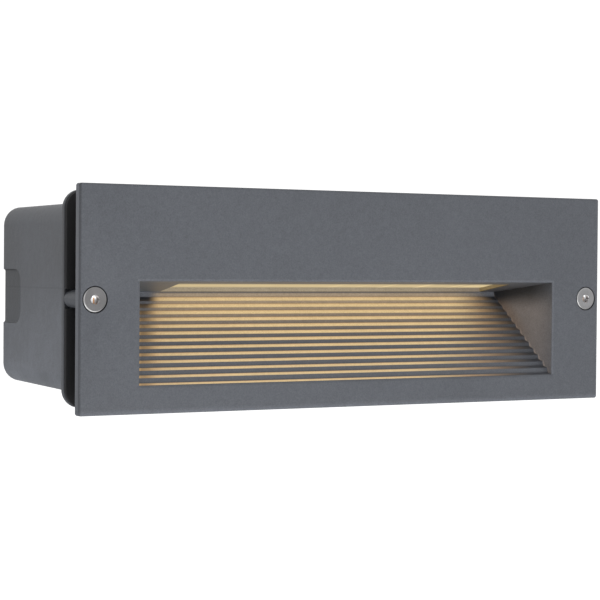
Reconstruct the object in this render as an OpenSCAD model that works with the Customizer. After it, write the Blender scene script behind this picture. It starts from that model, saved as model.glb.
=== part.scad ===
// Recessed brick light: a shallow cast box that is built into a wall, and a luminaire with a
// stepped light scoop that slides into it and is held by two face screws.
// Millimetres. X runs along the face, Y into the wall, Z up. The origin is the middle of the
// face plate, in the plane where the box's flange rests on the brickwork.

/* [Face plate] */
// Width of the face plate
plate_w = 242; // [238:1:260]
// Height of the face plate
plate_h = 85; // [84:0.5:95]
// Thickness of the face plate
plate_t = 3.5; // [3:0.1:5]
// Corner radius of the face plate
plate_corner_r = 1; // [0.5:0.1:4]

/* [Light scoop] */
// Thickness of the housing's walls beside the scoop
scoop_wall = 3.5; // [3:0.1:5]
// Height of the opening's lower edge above the bottom of the plate
scoop_sill = 10.55; // [9:0.05:12]
// Depth from the face to the last step
scoop_depth = 41.1; // [38:0.1:44]
// Slope at which the ceiling falls towards the back, in degrees
ceiling_fall = 6.34; // [4:0.01:8]
// Number of steps in the floor
step_count = 13; // [9:1:16]
// Height of the first step's nose above the sill
first_step_h = 2.7; // [2:0.05:3.2]
// Height of the scoop's back edge above the last step's nose
back_edge_h = 3.5; // [2.5:0.1:5]
// Rise of the first tread from its nose to its foot
first_tread_rise = 0.75; // [0:0.05:1.2]
// Rise of the last tread from its nose to its foot
last_tread_rise = 1.5; // [0:0.05:1.8]
// Backward lean of one riser
riser_lean = 0.6; // [0:0.05:1.2]
// Radius of a step's nose
nose_r = 0.6; // [0.1:0.05:1]

/* [Lamp housing] */
// Clearance between the housing's sides and the box, at the back
housing_side_gap = 11.35; // [10:0.05:13]
// Clearance above the housing
housing_top_gap = 2; // [1:0.1:3]
// Clearance below the housing
housing_floor_gap = 1.7; // [1:0.1:3]
// Height of the room above the scoop's opening
lamp_room_h = 22.25; // [21:0.05:23]
// Thickness of the housing's walls
housing_wall = 2.5; // [2:0.1:3]
// Corner radius of the housing
housing_corner_r = 3; // [1:0.1:4]
// Thickness of the wall under the steps
step_wall = 2.2; // [1.8:0.1:3]
// Thickness of the scoop's ceiling
ceiling_t = 3.7; // [3:0.1:4.5]

/* [Window] */
// Distance of the window's front left corner from the scoop's left wall
window_left_margin = 20.7; // [18:0.1:25]
// Distance of the window's front right corner from the scoop's right wall
window_right_margin = 15.8; // [12:0.1:25]
// Length of the light window along the ceiling
window_len = 31.8; // [24:0.1:32]
// Distance from the face's edge to the window, along the ceiling
window_front = 8.65; // [7:0.05:10]
// How far the window's ends lean to the right towards the back
window_lean = 7.6; // [0:0.1:9]
// Thickness of the lip that the glass rests on
window_lip = 1.7; // [1:0.1:2.2]
// Thickness of the glass
glass_t = 3; // [2:0.1:4]
// Overlap of the glass on its lip
glass_overlap = 2.6; // [2:0.1:3]
// Width of the silicone bead round the glass
bead_w = 0.8; // [0.5:0.1:1]
// Width of the rim behind the glass's recess
window_rim = 1.2; // [1:0.1:2]

/* [Light source] */
// Height of the reflector between the glass and the board
reflector_h = 7.3; // [5:0.1:8]
// Thickness of the reflector's walls at the board
reflector_wall = 1.5; // [1.2:0.1:2]
// Distance of the circuit board's ends inside the window's ends
board_inset = 6.05; // [5:0.05:10]
// Depth of the circuit board
board_len = 22; // [18:0.5:24]
// Thickness of the circuit board
board_t = 1.6; // [1:0.1:2]
// Number of light-emitting chips
chip_count = 18; // [10:1:20]
// Distance of the last chips from the ends of the board
chip_inset = 8; // [6:0.5:12]
// Side of one chip
chip_side = 3; // [2:0.1:3.5]
// Height of one chip
chip_t = 0.7; // [0.5:0.1:1]
// Thickness of the gear tray
tray_t = 2.5; // [2:0.1:3]
// Drop of the gear tray's rear leg below its shelf
tray_leg_h = 8; // [7:0.1:9]
// Distance of the leg's screws from the ends of the tray
leg_screw_inset = 17.05; // [12:0.05:25]

/* [Driver] */
// Width of the driver between its ears
driver_w = 92; // [70:1:95]
// Clearance between the driver and the leg of the gear tray
driver_clear = 2.4; // [1:0.1:8]
// Depth of the driver
driver_d = 13; // [10:0.5:14]
// Clearance between the wall behind the lamp and the driver
driver_gap = 5.23; // [4:0.01:8]
// Distance of the driver's left ear from the housing's wall
driver_side_gap = 22.5; // [20:0.5:26]
// Length of one ear of the driver
ear_l = 9; // [8:0.5:10]
// Thickness of the driver's ears
ear_t = 3; // [2:0.1:4]
// Width of the flat lead
lead_w = 3.2; // [2:0.1:5]
// Thickness of the flat lead
lead_t = 1.2; // [0.8:0.1:1.3]
// Distance of the flat lead from the driver's right end
lead_inset = 10; // [6:0.5:20]

/* [Rear cover] */
// Thickness of the rear cover
cover_t = 3; // [2.5:0.1:4]
// Thickness of the cover's seal
seal_t = 1; // [0.6:0.1:1.5]
// Radius of a cover screw's boss
boss_r = 3.6; // [3.3:0.1:3.8]
// Radius of a cover screw's thread
cover_screw_r = 2; // [1.5:0.1:2]
// Length of a cover screw below its head
cover_screw_l = 14; // [10:0.5:16]
// Radius of the vent plug's head
vent_r = 5; // [4:0.1:6]
// Distance of the vent plug from the housing's wall
vent_inset = 14.5; // [12:0.5:17]

/* [Cable gland] */
// Distance of the gland's middle from the driver's right ear
gland_gap = 15; // [12:0.5:20]
// Clearance between the gland and the leg of the gear tray
gland_clear = 3; // [1:0.1:5]
// Radius of the gland's thread
gland_thread_r = 6; // [5.8:0.1:7]
// Width across the flats of the gland's hexagon
gland_af = 17; // [16:0.5:18]
// Radius of the cable passage
gland_bore_r = 3.4; // [3:0.1:4]
// Height of the gland's hexagon
gland_hex_h = 4.5; // [4:0.1:6]
// Height of the gland's cap
gland_cap_h = 9; // [8:0.1:10]

/* [Recess box] */
// Distance from the back of the face plate to the front of the flange
standoff = 13.8; // [13:0.1:15]
// Thickness of the flange
flange_t = 2.4; // [2:0.1:3]
// Distance of the flange's edge inside the plate's edge
flange_inset = 1.7; // [1:0.1:2]
// Corner radius of the flange
flange_corner_r = 7.2; // [6:0.1:9]
// Distance of the box's walls inside the plate's edge, at the flange
box_inset = 6.1; // [5.5:0.1:6.5]
// Depth of the room for the wiring, between the rear cover and the box's back wall
wiring_room = 22.4; // [20:0.1:32]
// Thickness of the box's walls
box_wall = 2.4; // [2:0.1:2.6]
// Corner radius of the box
box_corner_r = 7.5; // [6:0.1:9]
// Taper of each side wall over the whole depth
side_taper = 1.15; // [0:0.05:1.5]
// Taper of the top wall over the whole depth
top_taper = 0.5; // [0:0.05:1]
// Taper of the bottom wall over the whole depth
bottom_taper = 1.8; // [0:0.05:2]
// Rounding of the edge round the back
back_round = 1.5; // [1:0.1:2]
// Width of the shallow pocket in each side wall
pocket_h = 21.6; // [16:0.1:26]
// Length of the pocket, from the back forwards
pocket_l = 19.5; // [15:0.1:24]
// Depth of the pocket
pocket_d = 1.2; // [0.6:0.1:1.4]
// Corner radius of the pocket
pocket_corner_r = 5.5; // [3:0.1:7]
// Thickness of the flange's gasket
gasket_t = 1.5; // [1:0.1:3]
// Distance of the gasket's edge inside the flange's edge
gasket_inset = 0.3; // [0.1:0.1:1]
// Distance of the fixing holes from the box's sides
fixing_inset = 24.9; // [20:0.1:35]
// Radius of a fixing hole
fixing_r = 2.5; // [2:0.1:3]
// Distance of the fixing holes below the top of the box
fixing_drop = 16.4; // [13:0.1:22]

/* [Supply entry] */
// Distance of the cable grommet from the box's right side
grommet_inset = 29.9; // [24:0.1:40]
// Height of the cable grommet
grommet_z = -8; // [-14:1:0]
// Radius of the hole that the grommet sits in
grommet_seat_r = 7; // [6:0.1:8]
// Radius of the cable passage in the grommet
grommet_bore_r = 3.5; // [3:0.1:4.5]
// Width of the grommet's rim inside the box
grommet_rim = 2; // [1.5:0.1:3]
// Thickness of the grommet's rim
grommet_rim_t = 1.5; // [1:0.1:2]

/* [Terminal block] */
// Distance of the terminal block's middle from the box's left side
terminal_inset = 69.9; // [60:0.1:80]
// Number of poles
pole_count = 3; // [2:1:4]
// Distance between two poles
pole_pitch = 11; // [10:0.5:12]
// Depth of the terminal block
terminal_d = 13; // [12:0.5:14]
// Height of the terminal block
terminal_h = 18; // [16:0.5:20]
// Height of the posts that carry the terminal block
terminal_post_h = 3; // [2:0.1:4]
// Outer radius of a pole's clamp
clamp_r = 2.7; // [2.6:0.1:2.9]
// Radius of the wire passage in a clamp
clamp_bore_r = 1.8; // [1.2:0.1:2]
// Radius of a clamp screw
clamp_screw_r = 1.5; // [1:0.1:1.7]
// Distance of the earth point from the box's left side
earth_inset = 29.9; // [24:0.1:36]
// Height of the earth point
earth_z = -14; // [-18:1:-8]
// Radius of the earth point's boss
earth_boss_r = 4; // [3.5:0.1:5]
// Height of the earth point's boss
earth_boss_h = 3; // [2:0.1:4]
// Thickness of the ring tag
tag_t = 1; // [0.8:0.1:1.2]
// Length of the ring tag's tail from the earth screw
tag_l = 11; // [8:0.5:14]

/* [Screws] */
// Distance of a face screw from the end of the face plate
face_screw_inset = 6.4; // [6:0.1:7]
// Radius of a face screw's thread
face_screw_r = 2.5; // [2.4:0.05:2.6]
// Radius of a face screw's head
face_head_r = 4.7; // [4.2:0.1:5]
// Length of a face screw
face_screw_l = 16; // [13:0.5:18]
// Width across the flats of a face screw's socket
socket_af = 3; // [2.5:0.1:3.5]
// Depth of a face screw's socket
socket_depth = 2; // [1.5:0.1:2.5]
// Radius of a pillar
pillar_r = 3.35; // [3.25:0.05:3.6]
// Radius of the small screws' thread
small_screw_r = 1.5; // [1.2:0.1:1.6]
// Radius of the small screws' heads
small_head_r = 2.75; // [2.4:0.05:2.9]
// Height of the small screws' heads
small_head_h = 1.8; // [1.5:0.1:2]
// Width of the slot in a slotted screw
slot_w = 0.8; // [0.5:0.1:1]
// Depth of the slot in a slotted screw
slot_depth = 0.7; // [0.4:0.1:0.8]
// Radius of a cover screw's head
cover_head_r = 3.5; // [3:0.1:4]
// Height of a cover screw's head
cover_head_h = 2.4; // [2:0.1:3]
// Width across the flats of a cover screw's socket
cover_socket_af = 2.5; // [2:0.1:3]
// Depth of a cover screw's socket
cover_socket_depth = 1.6; // [1:0.1:1.8]
// Clearance round a screw in its hole
screw_gap = 0.08; // [0.05:0.01:0.1]

/* [Hidden] */
$fn = 64;
cut = 1;
seat = 0.05;

coat = "#64666b";
black_rubber = "#17171a";
steel = "#b9babd";
brass = "#b79a4c";

// Depths are measured from the front of the face, heights from the bottom of the plate
face_y = -(plate_t + standoff + flange_t);
sliver = 0.1;
function y_of(depth) = face_y + depth;
function z_of(height) = height - plate_h / 2;
function at(depth, height) = [y_of(depth), z_of(height)];

// The lamp housing fits in the box, and the scoop in the lamp housing
flange_w = plate_w - 2 * flange_inset;
flange_h = plate_h - 2 * flange_inset;
box_w = plate_w - 2 * box_inset;
box_h = plate_h - 2 * box_inset;
housing_w = box_w - 2 * (side_taper + box_wall + housing_side_gap);
housing_top = plate_h - box_inset - box_wall - top_taper - housing_top_gap;
housing_floor = box_inset + box_wall + bottom_taper + housing_floor_gap;
scoop_w = housing_w - 2 * scoop_wall;

// The scoop's ceiling line and the line through the steps' noses
scoop_top = housing_top - housing_wall - lamp_room_h;
function ceiling_at(depth) = scoop_top - depth * tan(ceiling_fall);
step_run = scoop_depth / step_count;
last_nose_h = ceiling_at(scoop_depth) - back_edge_h;
step_rise = (last_nose_h - scoop_sill - first_step_h) / (step_count - 1);
nose_slope = step_rise / step_run;
function nose_depth(i) = step_run * i;
function nose_height(i) = scoop_sill + first_step_h + step_rise * (i - 1);
function tread_rise(i) = first_tread_rise
    + (last_tread_rise - first_tread_rise) * i / (step_count - 1);
foot_drop = nose_slope * (step_run - riser_lean) - first_tread_rise;
function under_steps(depth) = nose_height(1) + nose_slope * (depth - nose_depth(1))
    - foot_drop - step_wall / cos(atan(nose_slope));

// A point along the ceiling and square to it, as depth and height
function on_slope(along, above) = at(along * cos(ceiling_fall) + above * sin(ceiling_fall),
    scoop_top - along * sin(ceiling_fall) + above * cos(ceiling_fall));
function along_to(depth, above) = (depth - above * sin(ceiling_fall)) / cos(ceiling_fall);

window_w = scoop_w - window_left_margin - window_right_margin;
window_left = window_left_margin - scoop_w / 2;
window_back = window_front + window_len;
window_span = window_w + window_lean;
window_mid = window_left + window_span / 2;
pocket_margin = glass_overlap + bead_w;
lamp_wall_back = (window_back + pocket_margin + window_rim) * cos(ceiling_fall);
glass_top = window_lip + glass_t;
board_bottom = glass_top + reflector_h;
board_w = window_span - 2 * board_inset;
board_front = window_front + (window_len - board_len) / 2;
board_back = board_front + board_len;
tray_bottom = board_bottom + board_t;
tray_top = tray_bottom + tray_t;
tray_nose = 2;

housing_depth = lamp_wall_back + driver_gap + driver_d - seal_t;
housing_h = housing_top - housing_floor;
housing_mid_z = z_of(housing_floor + housing_h / 2);
housing_chin = scoop_sill - housing_wall;
chin_gap = 1.3;
chin_slope_l = 5.5;
chin_end = plate_t + standoff - gasket_t - chin_gap;
room_w = housing_w - 2 * housing_wall;
room_h = housing_h - 2 * housing_wall;
rim_y = y_of(housing_depth);
cover_y = rim_y + seal_t;
cover_back_y = cover_y + cover_t;

boss_sink = 0.4;
boss_x = room_w / 2 - boss_r + boss_sink;
boss_z = room_h / 2 - boss_r + boss_sink;
upper_boss_depth = 30;
lower_boss_depth = 26;
cover_spots = [for (x = [-boss_x, 0, boss_x]) for (s = [-1, 1]) [x, s]];

// The leg of the gear tray stands on the inside of the rear cover
shelf_end = on_slope(along_to(housing_depth + seal_t, tray_bottom), tray_bottom);
leg_low = shelf_end[1] - tray_leg_h;
leg_margin = 0.8;
leg_screw_z = leg_low + small_head_r + leg_margin;
leg_x = [for (s = [-1, 1]) window_mid + s * (window_span / 2 - leg_screw_inset)];

// The driver stands between the lower bosses and the leg
driver_foot_gap = 0.8;
driver_low = z_of(housing_floor + housing_wall) + 2 * boss_r + driver_foot_gap;
driver_h = leg_low - driver_clear - driver_low;
driver_z = driver_low + driver_h / 2;
driver_x = driver_side_gap + ear_l + (driver_w - room_w) / 2;
ear_x = [for (s = [-1, 1]) driver_x + s * (driver_w + ear_l) / 2];
vent_x = vent_inset - room_w / 2;
gland_x = driver_x + driver_w / 2 + ear_l + gland_gap;
gland_z = leg_low - gland_clear - gland_af / 2;

floor_y = cover_back_y + wiring_room;
box_depth = floor_y + box_wall;
fixing_x = box_w / 2 - fixing_inset;
fixing_z = box_h / 2 - fixing_drop;
grommet_x = box_w / 2 - grommet_inset;
earth_x = earth_inset - box_w / 2;
screw_x = plate_w / 2 - face_screw_inset;
pillar_top = -(flange_t + standoff);
pillar_reach = flange_w / 2 - screw_x - pillar_r;
thread_floor = 0.8;

terminal_x = terminal_inset - box_w / 2;
terminal_y = floor_y - terminal_post_h - terminal_d;
terminal_w = pole_count * pole_pitch;
pole_x = [for (i = [0 : pole_count - 1]) terminal_x + (i - (pole_count - 1) / 2) * pole_pitch];
post_x = [for (i = [0 : pole_count - 2]) (pole_x[i] + pole_x[i + 1]) / 2];
clamp_y = terminal_y + terminal_d * 0.55;
terminal_sole = 6;
post_r = 3.2;
post_root = 1;

// A flat outline with round corners, in the XZ plane, from y0 backwards by t
module slab(y0, t) {
    translate([0, y0 + t, 0]) rotate([90, 0, 0]) linear_extrude(t) children();
}

// A side view drawn in depth and height, carried along X from x0 by w
module along_x(x0, w) {
    translate([x0, 0, 0]) rotate([90, 0, 90]) linear_extrude(w) children();
}

// A round bar from y0 backwards by l
module peg(x, z, y0, l, r) {
    translate([x, y0, z]) rotate([-90, 0, 0]) cylinder(h = l, r = r);
}

// A hexagonal bar from y0 backwards by l, measured across its flats
module hex_peg(x, z, y0, l, af) {
    translate([x, y0, z]) rotate([-90, 0, 0]) cylinder(h = l, r = af / 2 / cos(30), $fn = 6);
}

module rounded_rect(w, h, r) {
    square([w - 2 * r, h], center = true);
    square([w, h - 2 * r], center = true);
    for (x = [-1, 1]) for (z = [-1, 1])
        translate([x * (w / 2 - r), z * (h / 2 - r)]) circle(r);
}

// Works on the slope of the scoop's ceiling: Y along it, Z square to it, from the face's edge
module on_ceiling() {
    translate([0, face_y, z_of(scoop_top)]) rotate([-ceiling_fall, 0, 0]) children();
}

// Points of the arc that rounds the corner b of the path a, b, c
function corner_arc(a, b, c, r, n) =
    let (u = (a - b) / norm(a - b), v = (c - b) / norm(c - b))
    let (half = acos(u * v) / 2)
    let (mid = b + (u + v) / norm(u + v) * r / sin(half))
    let (p = b + u * r / tan(half) - mid, q = b + v * r / tan(half) - mid)
    [for (i = [0 : n])
        let (s = p * (1 - i / n) + q * i / n)
        mid + s / norm(s) * r];

// The free space of the scoop in side view: steps below, the sloping ceiling above
function tread_front(i) = i == 0 ? scoop_sill : nose_height(i);
function foot_before(i) = at(nose_depth(i) - riser_lean, tread_front(i - 1) + tread_rise(i - 1));
function nose(i) = at(nose_depth(i), nose_height(i));
scoop_profile = [
    at(-cut, scoop_sill),
    at(0, scoop_sill),
    for (i = [1 : step_count - 1])
        each concat([foot_before(i)], corner_arc(foot_before(i), nose(i), foot_before(i + 1), nose_r, 4)),
    foot_before(step_count),
    at(scoop_depth, ceiling_at(scoop_depth)),
    at(0, scoop_top),
    at(-cut, scoop_top)
];

// The lamp room in side view: above the ceiling, behind the scoop and under the steps
room_low = housing_floor + housing_wall;
room_low_depth = nose_depth(1) + (room_low - under_steps(nose_depth(1))) / nose_slope;
room_profile = [
    at(plate_t, scoop_top + lamp_room_h),
    at(housing_depth + cut, scoop_top + lamp_room_h),
    at(housing_depth + cut, room_low),
    at(room_low_depth, room_low),
    at(lamp_wall_back, under_steps(lamp_wall_back)),
    at(lamp_wall_back, ceiling_at(lamp_wall_back) + ceiling_t / cos(ceiling_fall)),
    at(plate_t, ceiling_at(plate_t) + ceiling_t / cos(ceiling_fall))
];

// The chin in side view: the part of the housing that reaches below the box's opening
chin_profile = [
    at(cut, housing_chin),
    at(chin_end - chin_slope_l, housing_chin),
    at(chin_end, housing_floor),
    at(chin_end, housing_floor + housing_corner_r),
    at(cut, housing_floor + housing_corner_r)
];

// The outline of the window on the ceiling
window_outline = [
    [window_left, window_front],
    [window_left + window_w, window_front],
    [window_left + window_span, window_back],
    [window_left + window_lean, window_back]
];

module housing_outline() {
    translate([0, housing_mid_z]) rounded_rect(housing_w, housing_h, housing_corner_r);
}

module chin_outline() {
    translate([0, z_of((housing_top + housing_chin) / 2)])
        rounded_rect(housing_w, housing_top - housing_chin, housing_corner_r);
}

module cover_boss(spot) {
    x = spot[0];
    side = spot[1];
    start = side > 0 ? upper_boss_depth : lower_boss_depth;
    z = housing_mid_z + side * boss_z;
    peg(x, z, y_of(start), housing_depth - start, boss_r);
    translate([x - boss_r, y_of(start), side > 0 ? z : z - boss_r])
        cube([2 * boss_r, housing_depth - start, boss_r]);
}

module face_screw_hole(x) {
    peg(x, 0, face_y - cut, plate_t + 2 * cut, face_screw_r + screw_gap);
    translate([x, face_y - seat, 0]) rotate([-90, 0, 0])
        cylinder(h = face_head_r - face_screw_r, r1 = face_head_r + screw_gap + seat,
            r2 = face_screw_r + screw_gap + seat);
}

// Face plate, stepped scoop and lamp housing, cast in one piece
module face_casting() {
    color(coat) difference() {
        union() {
            slab(face_y, plate_t) rounded_rect(plate_w, plate_h, plate_corner_r);
            difference() {
                union() {
                    slab(y_of(cut), housing_depth - cut) housing_outline();
                    intersection() {
                        along_x(-housing_w / 2, housing_w) polygon(chin_profile);
                        slab(y_of(cut), chin_end) chin_outline();
                    }
                }
                along_x(-room_w / 2, room_w) polygon(room_profile);
            }
            for (spot = cover_spots) cover_boss(spot);
        }
        along_x(-scoop_w / 2, scoop_w) polygon(scoop_profile);
        on_ceiling() {
            translate([0, 0, -cut]) linear_extrude(window_lip + 2 * cut) polygon(window_outline);
            translate([window_left - pocket_margin, window_front - pocket_margin, window_lip])
                cube([window_span + 2 * pocket_margin, window_len + 2 * pocket_margin, ceiling_t]);
        }
        for (spot = cover_spots)
            peg(spot[0], housing_mid_z + spot[1] * boss_z, rim_y - cover_screw_l, cover_screw_l + cut,
                cover_screw_r + screw_gap);
        for (side = [-1, 1]) face_screw_hole(side * screw_x);
    }
}

// Opal glass on its lip above the window
module window_glass() {
    color("#e9dcb8") on_ceiling()
        translate([window_left - glass_overlap, window_front - glass_overlap, window_lip])
            cube([window_span + 2 * glass_overlap, window_len + 2 * glass_overlap, glass_t]);
}

// Silicone bead that fills the gap round the glass
module window_bead() {
    bead_h = ceiling_t - window_lip;
    color("#d8d8d4") on_ceiling() difference() {
        translate([window_left - pocket_margin, window_front - pocket_margin, window_lip])
            cube([window_span + 2 * pocket_margin, window_len + 2 * pocket_margin, bead_h]);
        translate([window_left - glass_overlap, window_front - glass_overlap, window_lip - cut])
            cube([window_span + 2 * glass_overlap, window_len + 2 * glass_overlap, bead_h + 2 * cut]);
    }
}

throat_margin = 0.5;

// White frame that widens from the board to the window
module reflector() {
    throat = board_len - 2 * reflector_wall - 2 * throat_margin;
    color("#f2f2ee") on_ceiling() difference() {
        translate([window_left - reflector_wall, window_front - reflector_wall, glass_top])
            cube([window_span + 2 * reflector_wall, window_len + 2 * reflector_wall, reflector_h]);
        hull() {
            translate([window_left, window_front, glass_top - sliver])
                cube([window_span, window_len, sliver]);
            translate([window_mid - board_w / 2 + reflector_wall, board_front + (board_len - throat) / 2,
                board_bottom])
                cube([board_w - 2 * reflector_wall, throat, sliver]);
        }
    }
}

board_screw_inset = 4;
board_screw_x = [for (s = [-1, 0, 1]) window_mid + s * (board_w / 2 - board_screw_inset)];
board_screw_along = board_back - 4.6;
board_head_r = 2.1;
board_head_h = 0.9;
chip_along = board_front + board_len / 2;
chip_pitch = (board_w - 2 * chip_inset) / (chip_count - 1);

// Circuit board under the gear tray, with its holes for the screws
module led_board() {
    color("#f4f4f0") on_ceiling() difference() {
        translate([window_mid - board_w / 2, board_front, board_bottom])
            cube([board_w, board_len, board_t]);
        for (x = board_screw_x)
            translate([x, board_screw_along, board_bottom - cut])
                cylinder(h = board_t + 2 * cut, r = small_screw_r + screw_gap);
    }
}

// One row of chips that shine down through the reflector
module led_chips() {
    color("#f4e07a") on_ceiling()
        for (i = [0 : chip_count - 1])
            translate([window_mid + (i - (chip_count - 1) / 2) * chip_pitch - chip_side / 2,
                chip_along - chip_side / 2, board_bottom - chip_t])
                cube([chip_side, chip_side, chip_t]);
}

// Low-headed screws that hold the board under the tray
module board_screws() {
    color(steel) on_ceiling()
        for (x = board_screw_x) translate([x, board_screw_along, board_bottom - board_head_h])
            difference() {
                union() {
                    cylinder(h = board_head_h, r = board_head_r);
                    cylinder(h = board_head_h + board_t + tray_t, r = small_screw_r);
                }
                translate([-board_head_r - cut, -slot_w / 2, -cut])
                    cube([2 * (board_head_r + cut), slot_w, cut + board_head_h / 2]);
            }
}

// Folded plate: a shelf parallel to the window, and a leg down the inside of the rear cover
module gear_tray() {
    inner = housing_depth + seal_t;
    color("#aeb1b5") difference() {
        along_x(window_left, window_span) polygon([
            on_slope(board_front - tray_nose, tray_bottom),
            on_slope(board_front - tray_nose, tray_top),
            on_slope(along_to(inner, tray_top), tray_top),
            [y_of(inner), leg_low],
            [y_of(inner - tray_t), leg_low],
            on_slope(along_to(inner - tray_t, tray_bottom), tray_bottom)
        ]);
        on_ceiling() for (x = board_screw_x)
            translate([x, board_screw_along, tray_bottom - cut])
                cylinder(h = tray_t + 2 * cut, r = small_screw_r + screw_gap);
        for (x = leg_x)
            peg(x, leg_screw_z, cover_y - tray_t - cut, tray_t + 2 * cut, small_screw_r + screw_gap);
    }
}

// A pan-headed screw with its head in front, its shank running backwards
module pan_screw(x, z, seat_y, l) {
    difference() {
        union() {
            peg(x, z, seat_y - small_head_h, small_head_h, small_head_r);
            peg(x, z, seat_y - small_head_h, small_head_h + l, small_screw_r);
        }
        translate([x - small_head_r - cut, seat_y - small_head_h - cut, z - slot_w / 2])
            cube([2 * (small_head_r + cut), cut + slot_depth, slot_w]);
    }
}

blind_floor = 0.7;
cover_bite = cover_t - blind_floor;

module tray_screws() {
    color(steel) for (x = leg_x) pan_screw(x, leg_screw_z, cover_y - tray_t, tray_t + cover_bite);
}

driver_corner_r = 1.5;
ear_corner_r = 2;
ear_h = driver_h * 0.6;

// Potted driver, with an ear at each end
module led_driver() {
    color("#e6e6e2") difference() {
        union() {
            slab(cover_y - driver_d, driver_d) translate([driver_x, driver_z])
                rounded_rect(driver_w, driver_h, driver_corner_r);
            slab(cover_y - ear_t, ear_t) translate([driver_x, driver_z])
                rounded_rect(driver_w + 2 * ear_l, ear_h, ear_corner_r);
        }
        for (x = ear_x)
            peg(x, driver_z, cover_y - ear_t - cut, ear_t + 2 * cut, small_screw_r + screw_gap);
    }
}

module driver_screws() {
    color(steel) for (x = ear_x) pan_screw(x, driver_z, cover_y - ear_t, ear_t + cover_bite);
}

// The outline of a strip of thickness t that follows a path, with mitred bends
function unit(v) = v / norm(v);
function square_to(v) = [-v[1], v[0]];
function mitre(path, i) =
    let (n = square_to(unit(path[i] - path[max(i - 1, 0)] + (i == 0 ? path[1] - path[0] : [0, 0]))))
    let (m = i == len(path) - 1 ? n : square_to(unit(path[i + 1] - path[i])))
    unit(n + m) / (unit(n + m) * n);
function strip_outline(path, t) = concat(
    [for (i = [0 : len(path) - 1]) path[i] + mitre(path, i) * t / 2],
    [for (i = [len(path) - 1 : -1 : 0]) path[i] - mitre(path, i) * t / 2]);

lead_above = board_bottom + board_t / 2;
lead_gap = 1.2;
lead_drop = 1.8;
lead_rise_z = z_of(ceiling_at(housing_depth - driver_d / 2)) + board_bottom - lead_drop;
lead_path = [
    [cover_y - driver_d / 2, driver_z + driver_h / 2],
    [cover_y - driver_d / 2, lead_rise_z],
    on_slope(window_back + reflector_wall + lead_gap, lead_above),
    on_slope(board_back, lead_above)
];

// Flat twin lead from the top of the driver, over the reflector, to the board's rear edge
module led_lead() {
    color("#b33a2f") along_x(driver_x + driver_w / 2 - lead_inset, lead_w)
        polygon(strip_outline(lead_path, lead_t));
}

module cover_spot(spot) {
    translate([spot[0], housing_mid_z + spot[1] * boss_z]) children();
}

// Silicone seal between the housing's rim and the rear cover, with an eye round each screw
module cover_seal() {
    color("#2b2b2e") slab(rim_y, seal_t) difference() {
        union() {
            difference() {
                housing_outline();
                translate([0, housing_mid_z]) square([room_w, room_h], center = true);
            }
            for (spot = cover_spots) cover_spot(spot) circle(boss_r);
        }
        for (spot = cover_spots) cover_spot(spot) circle(cover_screw_r + screw_gap);
    }
}

// Plate that closes the housing and carries the gear tray, the driver and the gland
module rear_cover() {
    color("#85888c") difference() {
        slab(cover_y, cover_t) housing_outline();
        slab(cover_y - cut, cover_t + 2 * cut)
            for (spot = cover_spots) cover_spot(spot) circle(cover_screw_r + screw_gap);
        for (x = leg_x)
            peg(x, leg_screw_z, cover_y - cut, cut + cover_bite, small_screw_r + screw_gap);
        for (x = ear_x)
            peg(x, driver_z, cover_y - cut, cut + cover_bite, small_screw_r + screw_gap);
        peg(gland_x, gland_z, cover_y - cut, cover_t + 2 * cut, gland_thread_r + screw_gap);
        peg(vent_x, housing_mid_z, cover_y - cut, cover_t + 2 * cut, vent_stem_r + screw_gap);
    }
}

module cover_screws() {
    color(steel) for (spot = cover_spots) {
        z = housing_mid_z + spot[1] * boss_z;
        difference() {
            union() {
                peg(spot[0], z, cover_back_y, cover_head_h, cover_head_r);
                peg(spot[0], z, cover_back_y - cover_screw_l, cover_screw_l + cover_head_h / 2,
                    cover_screw_r);
            }
            hex_peg(spot[0], z, cover_back_y + cover_head_h - cover_socket_depth,
                cover_socket_depth + cut, cover_socket_af);
        }
    }
}

vent_stem_r = 3;
vent_stem_l = 1.5;
vent_head_h = 2.2;
vent_bore_r = 1.2;

// Breather vent: a flat head outside, a short stem through the cover
module vent_plug() {
    color(black_rubber) difference() {
        union() {
            peg(vent_x, housing_mid_z, cover_back_y, vent_head_h, vent_r);
            peg(vent_x, housing_mid_z, cover_y - vent_stem_l, vent_stem_l + cover_t, vent_stem_r);
        }
        peg(vent_x, housing_mid_z, cover_y - vent_stem_l - cut, vent_stem_l + cut + cover_t, vent_bore_r);
    }
}

gland_nut_h = 3;
gland_thread_end = 1;
gland_front = cover_y - gland_nut_h - gland_thread_end;
gland_shoulder = cover_back_y + gland_hex_h;
gland_end = gland_shoulder + gland_cap_h * 0.6;
cap_wall = 1.6;
cap_neck = 0.4;
gland_cap_r = gland_af / 2 - cap_neck;
cap_hex_h = gland_cap_h * 0.55;

// Threaded tube through the cover, with a hexagon outside and a second thread for the cap
module gland_body() {
    color(black_rubber) difference() {
        union() {
            hex_peg(gland_x, gland_z, cover_back_y, gland_hex_h, gland_af);
            peg(gland_x, gland_z, gland_front, gland_end - gland_front, gland_thread_r);
        }
        peg(gland_x, gland_z, gland_front - cut, gland_end - gland_front + 2 * cut, gland_bore_r);
    }
}

module gland_nut() {
    color("#232327") difference() {
        hex_peg(gland_x, gland_z, cover_y - gland_nut_h, gland_nut_h, gland_af);
        peg(gland_x, gland_z, cover_y - gland_nut_h - cut, gland_nut_h + 2 * cut,
            gland_thread_r + screw_gap);
    }
}

// Rubber ring that the cap presses on the cable
module gland_seal() {
    color("#3a3a3e") difference() {
        peg(gland_x, gland_z, gland_end, gland_shoulder + gland_cap_h - cap_wall - gland_end,
            gland_thread_r);
        peg(gland_x, gland_z, gland_end - cut, gland_cap_h, gland_bore_r);
    }
}

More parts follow.
